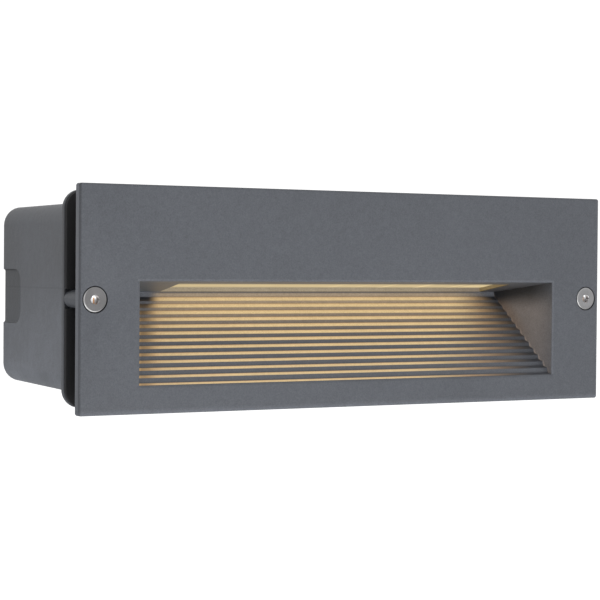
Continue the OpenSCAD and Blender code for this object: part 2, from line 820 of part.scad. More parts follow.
module gland_cap() {
    inner_l = gland_cap_h - cap_wall;
    color("#1d1d20") difference() {
        union() {
            hex_peg(gland_x, gland_z, gland_shoulder, cap_hex_h, gland_af);
            peg(gland_x, gland_z, gland_shoulder, gland_cap_h, gland_cap_r);
        }
        peg(gland_x, gland_z, gland_shoulder - cut, inner_l + cut, gland_thread_r + screw_gap);
        peg(gland_x, gland_z, gland_shoulder, gland_cap_h + cut, gland_bore_r);
    }
}

// One cross-section of the tapered box, as a thin slice at a depth behind the flange
module box_slice(y, inset, r) {
    share = y / box_depth;
    w = box_w - 2 * side_taper * share - 2 * inset;
    high = box_h / 2 - top_taper * share - inset;
    low = box_h / 2 - bottom_taper * share - inset;
    translate([0, 0, (high - low) / 2]) slab(y, sliver) rounded_rect(w, high + low, r);
}

// The pocket in a side wall: an outline with round front corners, cut to a shallow depth
module side_pocket(side) {
    x0 = box_w / 2 - side_taper - pocket_d;
    reach = pocket_d + side_taper + cut;
    translate([side > 0 ? x0 : -x0 - reach, box_depth - pocket_l, 0]) rotate([90, 0, 90])
        linear_extrude(reach) {
        translate([pocket_corner_r, -pocket_h / 2]) square([pocket_l, pocket_h]);
        translate([0, -pocket_h / 2 + pocket_corner_r]) square([pocket_l, pocket_h - 2 * pocket_corner_r]);
        for (s = [-1, 1]) translate([pocket_corner_r, s * (pocket_h / 2 - pocket_corner_r)])
            circle(pocket_corner_r);
    }
}

// A pillar as long as it is needed: a bar with round ends, level with the flange's edge
module pillar(x, y0, l, grow) {
    slab(y0, l) translate([x, 0]) {
        for (s = [-1, 1]) translate([s * pillar_reach, 0]) circle(pillar_r + grow);
        square([2 * pillar_reach, 2 * (pillar_r + grow)], center = true);
    }
}

// Cast box with a flange that rests on the brickwork, and two pillars for the face screws
module recess_box() {
    color(coat) difference() {
        union() {
            difference() {
                union() {
                    slab(-flange_t, flange_t) rounded_rect(flange_w, flange_h, flange_corner_r);
                    hull() {
                        box_slice(-cut, 0, box_corner_r);
                        box_slice(box_depth - back_round, 0, box_corner_r);
                        box_slice(box_depth - sliver, back_round, box_corner_r - back_round / 2);
                    }
                }
                hull() {
                    box_slice(-flange_t - cut, box_wall, box_corner_r - box_wall);
                    box_slice(floor_y - sliver, box_wall, box_corner_r - box_wall);
                }
                for (side = [-1, 1]) side_pocket(side);
            }
            for (side = [-1, 1]) pillar(side * screw_x, pillar_top, -pillar_top, 0);
            for (x = post_x)
                peg(x, 0, floor_y - terminal_post_h, terminal_post_h + post_root, post_r);
            peg(earth_x, earth_z, floor_y - earth_boss_h, earth_boss_h + post_root, earth_boss_r);
        }
        for (side = [-1, 1]) {
            peg(side * screw_x, 0, pillar_top - cut, -pillar_top + cut - thread_floor,
                face_screw_r + screw_gap);
            peg(side * fixing_x, fixing_z, floor_y - cut, box_wall + 2 * cut, fixing_r);
        }
        for (x = post_x)
            peg(x, 0, floor_y - terminal_post_h - cut, terminal_post_h + post_root + cut,
                small_screw_r + screw_gap);
        peg(earth_x, earth_z, floor_y - earth_boss_h - cut, earth_boss_h + post_root + cut,
            cover_screw_r + screw_gap);
        peg(grommet_x, grommet_z, floor_y - cut, box_wall + 2 * cut, grommet_seat_r + seat);
    }
}

// Foam strips on the flange, above and below the pillars
module flange_gasket() {
    y0 = -flange_t - gasket_t;
    inner_gap = 0.1;
    strip_gap = 2 * (pillar_r + gasket_inset);
    color(black_rubber) difference() {
        slab(y0, gasket_t) rounded_rect(flange_w - 2 * gasket_inset, flange_h - 2 * gasket_inset,
            flange_corner_r - gasket_inset);
        slab(y0 - cut, gasket_t + 2 * cut) {
            rounded_rect(box_w - 2 * (box_wall - inner_gap), box_h - 2 * (box_wall - inner_gap),
                box_corner_r - box_wall);
            square([plate_w, strip_gap], center = true);
        }
    }
}

// Rubber grommet in the back wall: a rim inside, and a neck level with the outside
module cable_grommet() {
    color(black_rubber) difference() {
        union() {
            peg(grommet_x, grommet_z, floor_y - grommet_rim_t, grommet_rim_t, grommet_seat_r + grommet_rim);
            peg(grommet_x, grommet_z, floor_y - grommet_rim_t, grommet_rim_t + box_wall, grommet_seat_r);
        }
        peg(grommet_x, grommet_z, floor_y - grommet_rim_t - cut, grommet_rim_t + box_wall + 2 * cut,
            grommet_bore_r);
    }
}

clamp_well_gap = 0.4;
clamp_recess = 1;
post_head_r = 2.05;
post_head_h = 2;

// Moulded block with a passage for each pole and a screw well above it
module terminal_block() {
    color("#d9d7cf") difference() {
        translate([terminal_x - terminal_w / 2, terminal_y, -terminal_h / 2])
            cube([terminal_w, terminal_d, terminal_h]);
        for (x = pole_x) {
            translate([x, clamp_y, -terminal_h / 2 - cut])
                cylinder(h = terminal_h + 2 * cut, r = clamp_r + seat);
            for (s = [-1, 1])
                peg(x, s * terminal_h / 4, terminal_y - cut, clamp_y - terminal_y + cut,
                    clamp_screw_r + clamp_well_gap);
        }
        for (x = post_x) {
            peg(x, 0, terminal_y - cut, terminal_d + 2 * cut, small_screw_r + screw_gap);
            peg(x, 0, terminal_y - cut, cut + terminal_d - terminal_sole, post_head_r + screw_gap);
        }
    }
}

// Brass tubes in the block: wires go in at both ends
module terminal_clamps() {
    clamp_l = terminal_h - 2 * clamp_recess;
    color(brass) difference() {
        for (x = pole_x) translate([x, clamp_y, -clamp_l / 2]) cylinder(h = clamp_l, r = clamp_r);
        for (x = pole_x) translate([x, clamp_y, -clamp_l / 2 - cut])
            cylinder(h = clamp_l + 2 * cut, r = clamp_bore_r);
        for (x = pole_x) for (s = [-1, 1])
            peg(x, s * terminal_h / 4, clamp_y - clamp_r - cut, clamp_r + cut, clamp_screw_r + seat);
    }
}

// Two slotted clamp screws for each pole
module terminal_screws() {
    low = terminal_y + clamp_recess;
    wire_gap = 1;
    color(steel) for (x = pole_x) for (s = [-1, 1]) difference() {
        peg(x, s * terminal_h / 4, low, clamp_y - wire_gap - low, clamp_screw_r);
        translate([x - clamp_screw_r - cut, low - cut, s * terminal_h / 4 - slot_w / 2])
            cube([2 * (clamp_screw_r + cut), cut + slot_depth, slot_w]);
    }
}

// Screws that hold the block on its posts
module terminal_fixings() {
    seat_y = terminal_y + terminal_d - terminal_sole;
    color(steel) for (x = post_x) difference() {
        union() {
            peg(x, 0, seat_y - post_head_h, post_head_h, post_head_r);
            peg(x, 0, seat_y - post_head_h, post_head_h + terminal_sole + terminal_post_h, small_screw_r);
        }
        translate([x - post_head_r - cut, seat_y - post_head_h - cut, -slot_w / 2])
            cube([2 * (post_head_r + cut), cut + slot_depth, slot_w]);
    }
}

tag_y = floor_y - earth_boss_h - tag_t;
tag_r = 3.8;
tag_w = 4;

// Ring tag for the earth wire
module earth_tag() {
    color(brass) difference() {
        union() {
            peg(earth_x, earth_z, tag_y, tag_t, tag_r);
            translate([earth_x - tag_w / 2, tag_y, earth_z]) cube([tag_w, tag_t, tag_l]);
        }
        peg(earth_x, earth_z, tag_y - cut, tag_t + 2 * cut, cover_screw_r + screw_gap);
    }
}

module earth_screw() {
    color(steel) difference() {
        union() {
            peg(earth_x, earth_z, tag_y - cover_head_h, cover_head_h, cover_head_r);
            peg(earth_x, earth_z, tag_y - cover_head_h, cover_head_h + tag_t + earth_boss_h,
                cover_screw_r);
        }
        hex_peg(earth_x, earth_z, tag_y - cover_head_h - cut, cut + cover_socket_depth,
            cover_socket_af);
    }
}

// Countersunk screw, its head level with the face, with a hexagonal socket
module face_screw(x) {
    color(steel) difference() {
        union() {
            translate([x, face_y, 0]) rotate([-90, 0, 0])
                cylinder(h = face_head_r - face_screw_r, r1 = face_head_r, r2 = face_screw_r);
            peg(x, 0, face_y, face_screw_l, face_screw_r);
        }
        hex_peg(x, 0, face_y - cut, cut + socket_depth, socket_af);
    }
}

module face_screw_left() {
    face_screw(-screw_x);
}

module face_screw_right() {
    face_screw(screw_x);
}

recess_box();
flange_gasket();
cable_grommet();
terminal_block();
terminal_clamps();
terminal_screws();
terminal_fixings();
earth_tag();
earth_screw();
face_casting();
window_glass();
window_bead();
reflector();
led_board();
led_chips();
board_screws();
gear_tray();
tray_screws();
led_driver();
driver_screws();
led_lead();
cover_seal();
rear_cover();
cover_screws();
vent_plug();
gland_body();
gland_nut();
gland_seal();
gland_cap();
face_screw_left();
face_screw_right();
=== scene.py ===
import math

import bpy
import numpy as np
from mathutils import Matrix


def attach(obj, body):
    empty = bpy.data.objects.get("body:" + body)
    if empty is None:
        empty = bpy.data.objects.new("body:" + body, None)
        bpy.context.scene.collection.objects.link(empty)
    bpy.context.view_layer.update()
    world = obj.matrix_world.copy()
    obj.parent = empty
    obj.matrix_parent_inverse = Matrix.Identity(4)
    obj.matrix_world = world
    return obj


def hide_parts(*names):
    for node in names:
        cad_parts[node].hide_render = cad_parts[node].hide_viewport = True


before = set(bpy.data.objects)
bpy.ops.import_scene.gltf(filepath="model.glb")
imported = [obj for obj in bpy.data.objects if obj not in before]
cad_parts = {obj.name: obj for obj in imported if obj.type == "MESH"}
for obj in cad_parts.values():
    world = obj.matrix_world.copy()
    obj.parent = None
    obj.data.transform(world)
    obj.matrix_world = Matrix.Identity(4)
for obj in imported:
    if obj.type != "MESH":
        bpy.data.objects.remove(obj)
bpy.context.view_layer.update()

# Recess box
# A thin-walled aluminium casting that is built into the brickwork. Its flange rests on the
# bricks, two pillars beside the opening take the face screws, and the back wall has two holes
# for wall screws and one for the cable. It is powder coated like the face, over cast marks.
FACE_Y = -19.7
HALF_FACE_H = 42.5
FLANGE_T = 2.4
BOX_DEPTH = 71.1045
BOX_WALL = 2.4
BOX_FLOOR_Y = BOX_DEPTH - BOX_WALL
BOX_HALF_W = 114.9
BOX_HALF_H = 36.4
BOX_CORNER_R = 7.5
SIDE_TAPER = 1.15
TOP_TAPER = 0.5
BOTTOM_TAPER = 1.8
BACK_ROUND = 1.5
FLOOR_FILLET = 1.2
FLANGE_BOX = (-119.3, 119.3, -40.8, 40.8, 7.2)
FLANGE_EDGE_R = 0.45
POCKET_SINK = 1.2
POCKET_EDGE_R = 0.6
POCKET = (-BOX_DEPTH - 4.0, -BOX_DEPTH + 19.5, -10.8, 10.8, 5.5)
SCREW_X = 114.6
PILLAR_R = 3.35
PILLAR_HALF_W = 4.69
PILLAR_FRONT_Y = -16.2
PILLAR_HOLE_R = 2.58
POST_X = (-50.5, -39.5)
POST_R = 3.2
POST_H = 3.0
POST_HOLE_R = 1.58
EARTH_SPOT = (-85.0, -14.0)
EARTH_BOSS_R = 4.0
EARTH_HOLE_R = 2.08
FIXING_X = 90.0
FIXING_Z = 20.0
FIXING_R = 2.5
GROMMET_SPOT = (85.0, -8.0)
GROMMET_HOLE_R = 7.05


def add_mesh(name, points, quads, caps=()):
    """One object from points in millimetres, four-cornered faces and many-cornered caps."""
    mesh = bpy.data.meshes.new(name)
    mesh.from_pydata(points.reshape(-1, 3).tolist(), [], quads.tolist() + [list(c) for c in caps])
    obj = bpy.data.objects.new(name, mesh)
    bpy.context.scene.collection.objects.link(obj)
    return obj


def grid_faces(rows, columns, loop_rows=False, loop_columns=True):
    """Corners of the faces between each point of a grid and its neighbours in the next row
    and the next column, where a loop's last row or column is followed by its first."""
    i = np.arange(rows if loop_rows else rows - 1)
    j = np.arange(columns if loop_columns else columns - 1)
    a, b = np.meshgrid(i, j, indexing="ij")
    c, d = (a + 1) % rows, (b + 1) % columns
    corners = np.stack([a * columns + b, c * columns + b, c * columns + d, a * columns + d], -1)
    return corners.reshape(-1, 4)


def swept(name, rings):
    """Rings of points, each run anticlockwise seen from the front, joined from ring to ring,
    with a flat cap on the first and the last."""
    n, m = rings.shape[:2]
    caps = [range(m), range(n * m - 1, (n - 1) * m - 1, -1)]
    return add_mesh(name, rings, grid_faces(n, m), caps)


def rounded_rings(rows, steps=6):
    """Rows of depth, left, right, bottom, top and corner radius. Each corner is a quarter
    circle about the point one radius inside both of its sides, cut into equal steps."""
    y, x0, x1, z0, z1, r = np.array(rows, float).T[:, :, None]
    quarters = np.arange(4)[:, None] * np.pi / 2
    turn = (np.linspace(0, np.pi / 2, steps + 1) + quarters).ravel()[None]
    right = np.repeat([1, 0, 0, 1], steps + 1)[None]
    upper = np.repeat([1, 1, 0, 0], steps + 1)[None]
    x = np.where(right, x1 - r, x0 + r) + r * np.cos(turn)
    z = np.where(upper, z1 - r, z0 + r) + r * np.sin(turn)
    return np.stack([x, np.broadcast_to(y, x.shape), z], -1)


def inset_row(y, outline, inset=0.0):
    """The ring of an outline (left, right, bottom, top, radius) pulled in on every side."""
    x0, x1, z0, z1, r = outline
    return (y, x0 + inset, x1 - inset, z0 + inset, z1 - inset, max(r - inset, 0.01))


def round_edge(y, outline, r, closing=False, steps=4):
    """Rings of a quarter-round edge between a face at depth y and the side behind it: inset by
    r times one minus the sine, and sunk by r times one minus the cosine. A closing edge runs
    from the side back to the face. A ring beside each end keeps the flat parts flat."""
    t = np.linspace(0, np.pi / 2, steps + 1)
    inset = np.concatenate([[r * 1.5], r * (1 - np.sin(t)), [0.0]])
    sunk = np.concatenate([[0.0], r * (1 - np.cos(t)), [r * 1.5]])
    if closing:
        return [inset_row(y - s, outline, i) for i, s in zip(inset[::-1], sunk[::-1])]
    return [inset_row(y + s, outline, i) for i, s in zip(inset, sunk)]


def lathe_rings(rows, x, z, steps=32, start=0.0):
    """Rows of depth from the start and radius, turned about the axis through x and z. Where a
    row's third number is one its ring is a hexagon whose flats lie at that radius, and in
    between it is part of the way."""
    y, r, share = np.array([(*row, 0)[:3] for row in rows], float).T[:, :, None]
    turn = np.linspace(0, 2 * np.pi, steps, endpoint=False)[None]
    hexagon = 1 / np.cos(turn % (np.pi / 3) - np.pi / 6)
    reach = r * (1 + share * (hexagon - 1))
    px = x + reach * np.cos(turn)
    return np.stack([px, np.broadcast_to(start + y, px.shape), z + reach * np.sin(turn)], -1)


def join_on(obj, other, operation):
    """A Boolean step with another mesh, which is used up when the piece is settled."""
    step = obj.modifiers.new(operation.lower(), "BOOLEAN")
    step.operation = operation
    step.solver = "EXACT"
    step.object = other
    other.hide_render = True


def cut(obj, *others):
    """Takes other meshes out of a piece."""
    for other in others:
        join_on(obj, other, "DIFFERENCE")


def weld(obj, *others):
    """Makes other meshes one with a piece."""
    for other in others:
        join_on(obj, other, "UNION")


def settle(obj, crease=32.0, metres=True):
    """Works the Boolean steps into the mesh, smooths it up to the crease angle, and goes from
    millimetres to metres."""
    used = [m.object for m in obj.modifiers if m.type == "BOOLEAN"]
    depsgraph = bpy.context.evaluated_depsgraph_get()
    mesh = bpy.data.meshes.new_from_object(obj.evaluated_get(depsgraph))
    obj.modifiers.clear()
    rough = obj.data
    obj.data = mesh
    bpy.data.meshes.remove(rough)
    mesh.name = obj.name
    for other in used:
        bpy.data.objects.remove(other)
    if metres:
        mesh.transform(Matrix.Scale(0.001, 4))
        mesh.polygons.foreach_set("use_smooth", np.ones(len(mesh.polygons), bool))
        mesh.set_sharp_from_angle(angle=math.radians(crease))
    return obj


def box_outline(y, inset=0.0):
    """The box's outline at a depth behind the flange: each wall leans in by its taper."""
    share = y / BOX_DEPTH
    half = BOX_HALF_W - SIDE_TAPER * share - inset
    low = BOX_HALF_H - BOTTOM_TAPER * share - inset
    high = BOX_HALF_H - TOP_TAPER * share - inset
    return (-half, half, -low, high, BOX_CORNER_R - inset)


def box_shell():
    """One closed surface: up the inside from the floor, round the flange, down the outside.
    Each edge is a quarter circle, inset and sunk by one minus the sine and the cosine."""
    quarter = [(1 - math.sin(a), 1 - math.cos(a)) for a in np.linspace(0, np.pi / 2, 5)]
    inside = box_outline(BOX_FLOOR_Y, BOX_WALL)
    rows = [inset_row(BOX_FLOOR_Y, inside, FLOOR_FILLET * 1.6)]
    rows += [inset_row(BOX_FLOOR_Y - FLOOR_FILLET * c, inside, FLOOR_FILLET * s)
             for s, c in quarter]
    mouth = box_outline(-FLANGE_T, BOX_WALL)
    rows += [inset_row(-FLANGE_T + 0.6, mouth), inset_row(-FLANGE_T + 0.4, mouth)]
    rows += [inset_row(-FLANGE_T + 0.4 * s, mouth, -0.4 * c) for s, c in quarter]
    rows += [inset_row(-FLANGE_T, mouth, -0.6)]
    rows += round_edge(-FLANGE_T, FLANGE_BOX, FLANGE_EDGE_R)
    rows += round_edge(0.0, FLANGE_BOX, 0.3, closing=True, steps=3)[1:]
    rows += [inset_row(0.0, box_outline(0.0), -0.7)]
    rows += [inset_row(0.5 * c, box_outline(0.0), -0.5 * s) for s, c in quarter]
    rows += [inset_row(0.8, box_outline(0.8))]
    rows += round_edge(BOX_DEPTH, box_outline(BOX_DEPTH), BACK_ROUND, closing=True, steps=6)
    return swept("recess_box_cast", rounded_rings(rows, steps=8))


def side_pocket(side):
    """The shallow pocket at the back of a side wall: a rounded outline in depth and height,
    carried outwards along X, with a soft edge where it meets its floor."""
    floor_x = BOX_HALF_W - SIDE_TAPER - POCKET_SINK
    reach, r = 3.0, POCKET_EDGE_R
    rows = [inset_row(0.0, POCKET, r * 1.5), inset_row(0.0, POCKET, r)]
    rows += [inset_row(r * (1 - math.cos(a)), POCKET, r * (1 - math.sin(a)))
             for a in np.linspace(0.3, np.pi / 2, 5)]
    rows += [inset_row(reach, POCKET)]
    if side < 0:
        rows = [(reach - row[0], -row[2], -row[1]) + row[3:] for row in rows[::-1]]
    rings = rounded_rings(rows, steps=8)
    along = rings[..., 1] + (floor_x if side > 0 else -floor_x - reach)
    rings = np.stack([along, -side * rings[..., 0], rings[..., 2]], -1)
    return swept("pocket", rings if side > 0 else rings[:, ::-1])


def drill(x, z, y0, y1, r, steps=32):
    """A round rod that cuts a hole from depth y0 to y1."""
    return swept("drill", lathe_rings([(y0, r), (y1, r)], x, z, steps))


def boss_on_floor(name, x, z, r):
    """A round boss on the box's floor with a small chamfer at its top."""
    rows = [(-POST_H, r - 0.2), (-POST_H + 0.2, r), (1.0, r)]
    return swept(name, lathe_rings(rows, x, z, start=BOX_FLOOR_Y))


def floor_hole(x, z, r):
    """A hole through the box's back wall."""
    return drill(x, z, BOX_FLOOR_Y - 1.0, BOX_DEPTH + 1.0, r)


def blind_hole(x, z, r, steps):
    """A tapping hole down a boss on the box's floor."""
    return drill(x, z, BOX_FLOOR_Y - 4.0, BOX_FLOOR_Y + 1.0, r, steps)


recess_box = box_shell()
cut(recess_box, side_pocket(1), side_pocket(-1))
for side in (-1, 1):
    x = side * SCREW_X
    outline = (x - PILLAR_HALF_W, x + PILLAR_HALF_W, -PILLAR_R, PILLAR_R, PILLAR_R - 0.005)
    rows = round_edge(PILLAR_FRONT_Y, outline, 0.3, steps=3) + [inset_row(-0.02, outline)]
    weld(recess_box, swept("pillar", rounded_rings(rows, steps=10)))
for x in POST_X:
    weld(recess_box, boss_on_floor("post", x, 0.0, POST_R))
weld(recess_box, boss_on_floor("earth_boss", *EARTH_SPOT, EARTH_BOSS_R))
for side in (-1, 1):
    cut(recess_box, drill(side * SCREW_X, 0.0, PILLAR_FRONT_Y - 1.0, -0.8, PILLAR_HOLE_R),
        floor_hole(side * FIXING_X, FIXING_Z, FIXING_R))
for x in POST_X:
    cut(recess_box, blind_hole(x, 0.0, POST_HOLE_R, 20))
cut(recess_box, blind_hole(*EARTH_SPOT, EARTH_HOLE_R, 24))
cut(recess_box, floor_hole(*GROMMET_SPOT, GROMMET_HOLE_R))
settle(recess_box)


def place(tree, kind, **settings):
    """A new node with its settings."""
    node = tree.nodes.new(kind)
    for key, value in settings.items():
        setattr(node, key, value)
    return node


def feed(socket, value):
    """Sets a socket to a number or colour, or links it to a value."""
    if isinstance(value, Value):
        socket.id_data.links.new(value.socket, socket)
    else:
        socket.default_value = value


def worked(operation, *numbers, clamp=False):
    """What a math node makes of values and plain numbers."""
    tree = next(n for n in numbers if isinstance(n, Value)).socket.id_data
    node = place(tree, "ShaderNodeMath", operation=operation, use_clamp=clamp)
    for socket, number in zip(node.inputs, numbers):
        feed(socket, number)
    return Value(node.outputs[0])


class Value:
    """A node's output, which changes over the surface. Each sign between values adds a node,
    and a comparison is one where it holds and nought elsewhere."""
    def __init__(self, socket):
        self.socket = socket

    __add__ = lambda a, b: worked("ADD", a, b)
    __sub__ = lambda a, b: worked("SUBTRACT", a, b)
    __rsub__ = lambda a, b: worked("SUBTRACT", b, a)
    __mul__ = lambda a, b: worked("MULTIPLY", a, b)
    __truediv__ = lambda a, b: worked("DIVIDE", a, b)
    __pow__ = lambda a, b: worked("POWER", a, b)
    __lt__ = lambda a, b: worked("LESS_THAN", a, b)
    __gt__ = lambda a, b: worked("GREATER_THAN", a, b)
    __abs__ = lambda a: worked("ABSOLUTE", a)


def between(value, low, high):
    """One where the value lies between two bounds."""
    return (value > low) * (value < high)


def lessened(shade, *masks):
    """A factor that loses a share of itself where a mask is one; a minus adds to it."""
    for mask, share in masks:
        shade = shade * (1.0 - mask * share)
    return shade


def through(tree, kind, inputs, output=0, **settings):
    """The output of a new node with values or numbers on its named or counted inputs."""
    node = place(tree, kind, **settings)
    for label, value in inputs.items():
        feed(node.inputs[label], value)
    return Value(node.outputs[output])


def fade(value, start, end, low=0.0, high=1.0):
    """A smooth step from low at start to high at end."""
    return through(value.socket.id_data, "ShaderNodeMapRange",
                   {"Value": value, "From Min": start, "From Max": end, "To Min": low,
                    "To Max": high}, interpolation_type="SMOOTHSTEP")


def mixed(share, a, b):
    """From colour a to colour b by a share."""
    return through(share.socket.id_data, "ShaderNodeMix", {0: share, 6: a, 7: b}, 2,
                   data_type="RGBA")


def noise(vector, scale, detail=2.0, roughness=0.5):
    """Cloudy values about a half, with so many clouds to the metre."""
    return through(vector.socket.id_data, "ShaderNodeTexNoise",
                   {"Vector": vector, "Scale": scale, "Detail": detail, "Roughness": roughness},
                   "Fac")


def bumped(height, strength, distance):
    """The surface's direction with small bumps on it."""
    return through(height.socket.id_data, "ShaderNodeBump",
                   {"Height": height, "Strength": strength, "Distance": distance}, "Normal")


def times(colour, factor):
    """A colour scaled by a factor that changes over the surface."""
    return through(factor.socket.id_data, "ShaderNodeVectorMath",
                   {0: colour, "Scale": factor}, operation="SCALE")


def summed(first, *others):
    """Colours added up."""
    for other in others:
        first = through(first.socket.id_data, "ShaderNodeVectorMath", {0: first, 1: other},
                        operation="ADD")
    return first


def separated(vector):
    """A vector's three parts."""
    node = place(vector.socket.id_data, "ShaderNodeSeparateXYZ")
    feed(node.inputs[0], vector)
    return [Value(part) for part in node.outputs]


def new_material(name):
    """A material with its shader, and the object's own coordinates and directions."""
    material = bpy.data.materials.new(name)
    material.use_nodes = True
    tree = material.node_tree
    tree.nodes.clear()
    shader = place(tree, "ShaderNodeBsdfPrincipled")
    output = place(tree, "ShaderNodeOutputMaterial")
    tree.links.new(shader.outputs[0], output.inputs[0])
    given = place(tree, "ShaderNodeTexCoord").outputs
    return material, shader, Value(given["Object"]), Value(given["Normal"])


def dress(shader, **values):
    """Feeds a shader's sockets by their names, with an underscore for each space."""
    for label, value in values.items():
        feed(shader.inputs[label.replace("_", " ")], value)


def new_group(name, numbers, outputs):
    """An empty node group with a vector and some numbers going in, and values coming out."""
    group = bpy.data.node_groups.new(name, "ShaderNodeTree")
    group.interface.new_socket(name="Vector", in_out="INPUT", socket_type="NodeSocketVector")
    for label, value in numbers:
        socket = group.interface.new_socket(
            name=label, in_out="INPUT", socket_type="NodeSocketFloat")
        socket.default_value = value
    for label in outputs:
        group.interface.new_socket(name=label, in_out="OUTPUT", socket_type="NodeSocketFloat")
    given = {s.name: Value(s) for s in group.nodes.new("NodeGroupInput").outputs if s.name}
    return group, given, group.nodes.new("NodeGroupOutput").inputs


def use_group(group, vector, **numbers):
    """The values that a node group gives for a vector and its numbers."""
    node = place(vector.socket.id_data, "ShaderNodeGroup", node_tree=group)
    feed(node.inputs["Vector"], vector)
    for label, number in numbers.items():
        feed(node.inputs[label], number)
    return {s.name: Value(s) for s in node.outputs}


def powder_grain_group():
    """Powder coat: fine grains of the powder over soft waves where it has flowed together.
    Shade is a factor near one for the colour, Height is for the bump, Spots for roughness."""
    group, given, result = new_group(
        "powder_grain", [("Grain", 2100.0), ("Waves", 420.0), ("Contrast", 0.08)],
        ["Shade", "Height", "Spots"])
    fine, soft, wide = (noise(given["Vector"], scale)
                        for scale in (given["Grain"], given["Waves"], 38.0))
    waves = soft - 0.5
    both = (fine - 0.5) * 2.2 + waves * 0.8 + (wide - 0.5) * 0.55
    feed(result["Shade"], both * given["Contrast"] + 1.0)
    feed(result["Height"], waves * 1.6 + fine)
    feed(result["Spots"], soft)
    return group


def set_finish(obj, material):
    """Gives a piece its one material."""
    obj.data.materials.clear()
    obj.data.materials.append(material)


powder_grain = powder_grain_group()
COAT = (0.110, 0.118, 0.135)


def box_coat():
    """The coat on the raw casting: metal has flowed in faint streaks up and down its walls,
    a parting line runs round it a little above the middle, and handling left it patchy.
    Light and shade are painted into its colour: painted light towards the bottom and at the
    lower rear, painted shade at the upper rear, in the side pockets, on the flange's edge and
    on the pillars."""
    material, shader, spot, _ = new_material("coat_on_casting_with_painted_shade")
    grain = use_group(powder_grain, spot, Grain=1900.0, Contrast=0.26)
    x, y, z = separated(spot)
    across, high = abs(x), abs(z)
    stretched = through(material.node_tree, "ShaderNodeMapping",
                        {"Vector": spot, "Scale": (1.0, 1.0, 0.16)})
    streaks = noise(stretched, 260.0, 3.0, 0.6)
    patches = noise(spot, 55.0, 4.0, 0.65)
    line = fade(abs(z - 0.0035), 0.0001, 0.0006, 1.0, 0.0)
    # Painted shade at the upper rear of the box and painted light at its lower rear
    rear = fade(y, 0.026, 0.070)
    # Painted shade in the side pockets, deepest on their edge walls
    pocket = between(across, 0.1120, 0.11365) * (y > 0.0508) * (high < 0.0112)
    # Painted shade on the flange's edge, in the gap behind the plate
    rim = between(y, -0.00255, 0.00002) * worked("MAXIMUM", across > 0.1170, high > 0.0385)
    # Painted shade on the pillars between flange and plate, darkest towards their tops
    pillar = (y < -0.0026) * (high < 0.0036)
    shade = lessened((streaks * 0.12 + 0.90) * (patches * 0.8 + 0.56), (line, 0.1),
                     (rear * fade(z, -0.030, -0.014), 0.15),
                     (rear * fade(z, -0.024, -0.031), -0.25),
                     (pocket, fade(across, 0.1126, 0.1128, 0.42, 0.66)),
                     (rim, fade(y, -0.00235, -0.0020, 0.75, 0.42)),
                     (pillar, fade(z, -0.002, 0.003, 0.20, 0.46)))
    # Painted light from below: the coat is drawn lighter towards the bottom
    shade = shade * fade(z, 0.020, -0.036, 0.78, 1.42) * grain["Shade"]
    height = streaks * 0.7 + grain["Height"] + line * -0.7
    dress(shader, Base_Color=times(COAT, shade), Roughness=patches * 0.16 + 0.42,
          Normal=bumped(height, 0.35, 0.00012), Specular_IOR_Level=0.4)
    return material


set_finish(recess_box, box_coat())
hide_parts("recess_box")
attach(recess_box, "recess_box")


# Face casting
# Face plate, stepped light scoop and lamp housing are one aluminium casting. The scoop's steps
# carry the light forwards, its ceiling falls towards the back, and the window for the light is
# a leaning opening in that ceiling. The face is coated in fine anthracite powder.
PLATE_BOX = (-121.0, 121.0, -HALF_FACE_H, HALF_FACE_H, 1.0)
PLATE_T = 3.5
PLATE_EDGE_R = 0.4
HOUSING_BOX = (-100.0, 100.0, -30.5, 31.5, 3.0)
HOUSING_DEPTH = 62.0045
CHIN_Z = -34.45
CHIN_FRONT = 9.0
CHIN_END = 14.5
SCOOP_HALF_W = 96.5
SCOOP_SILL = 10.55
SCOOP_TOP = 49.25
SCOOP_DEPTH = 41.1
CEILING_FALL = math.radians(6.34)
STEP_COUNT = 13
FIRST_STEP_H = 2.7
BACK_EDGE_H = 3.5
FIRST_TREAD_RISE = 0.75
LAST_TREAD_RISE = 1.5
RISER_LEAN = 0.6
NOSE_R = 0.6
MOUTH_R = 0.35
WINDOW = ((-75.8, 8.65), (80.7, 8.65), (88.3, 40.45), (-68.2, 40.45))
WINDOW_LIP = 1.7
GLASS_POCKET = ((-79.2, 5.25), (91.7, 5.25), (91.7, 43.85), (-79.2, 43.85))
CEILING_T = 3.7
ROOM_HALF_W = 97.5
ROOM_LOW = 14.5
ROOM_TOP = 71.5
LAMP_WALL_BACK = 44.7745
STEP_WALL = 2.2
BOSS_X = (-94.3, 0.0, 94.3)
BOSS_R = 3.6
BOSS_Z = (-24.8, 25.8)
BOSS_START = (26.0, 30.0)
BOSS_HOLE_R = 2.08
FACE_HEAD_R = 4.7
FACE_SCREW_R = 2.5
SOCKET_R = 1.5

STEP_RUN = SCOOP_DEPTH / STEP_COUNT
LAST_NOSE_H = SCOOP_TOP - SCOOP_DEPTH * math.tan(CEILING_FALL) - BACK_EDGE_H
STEP_RISE = (LAST_NOSE_H - SCOOP_SILL - FIRST_STEP_H) / (STEP_COUNT - 2)


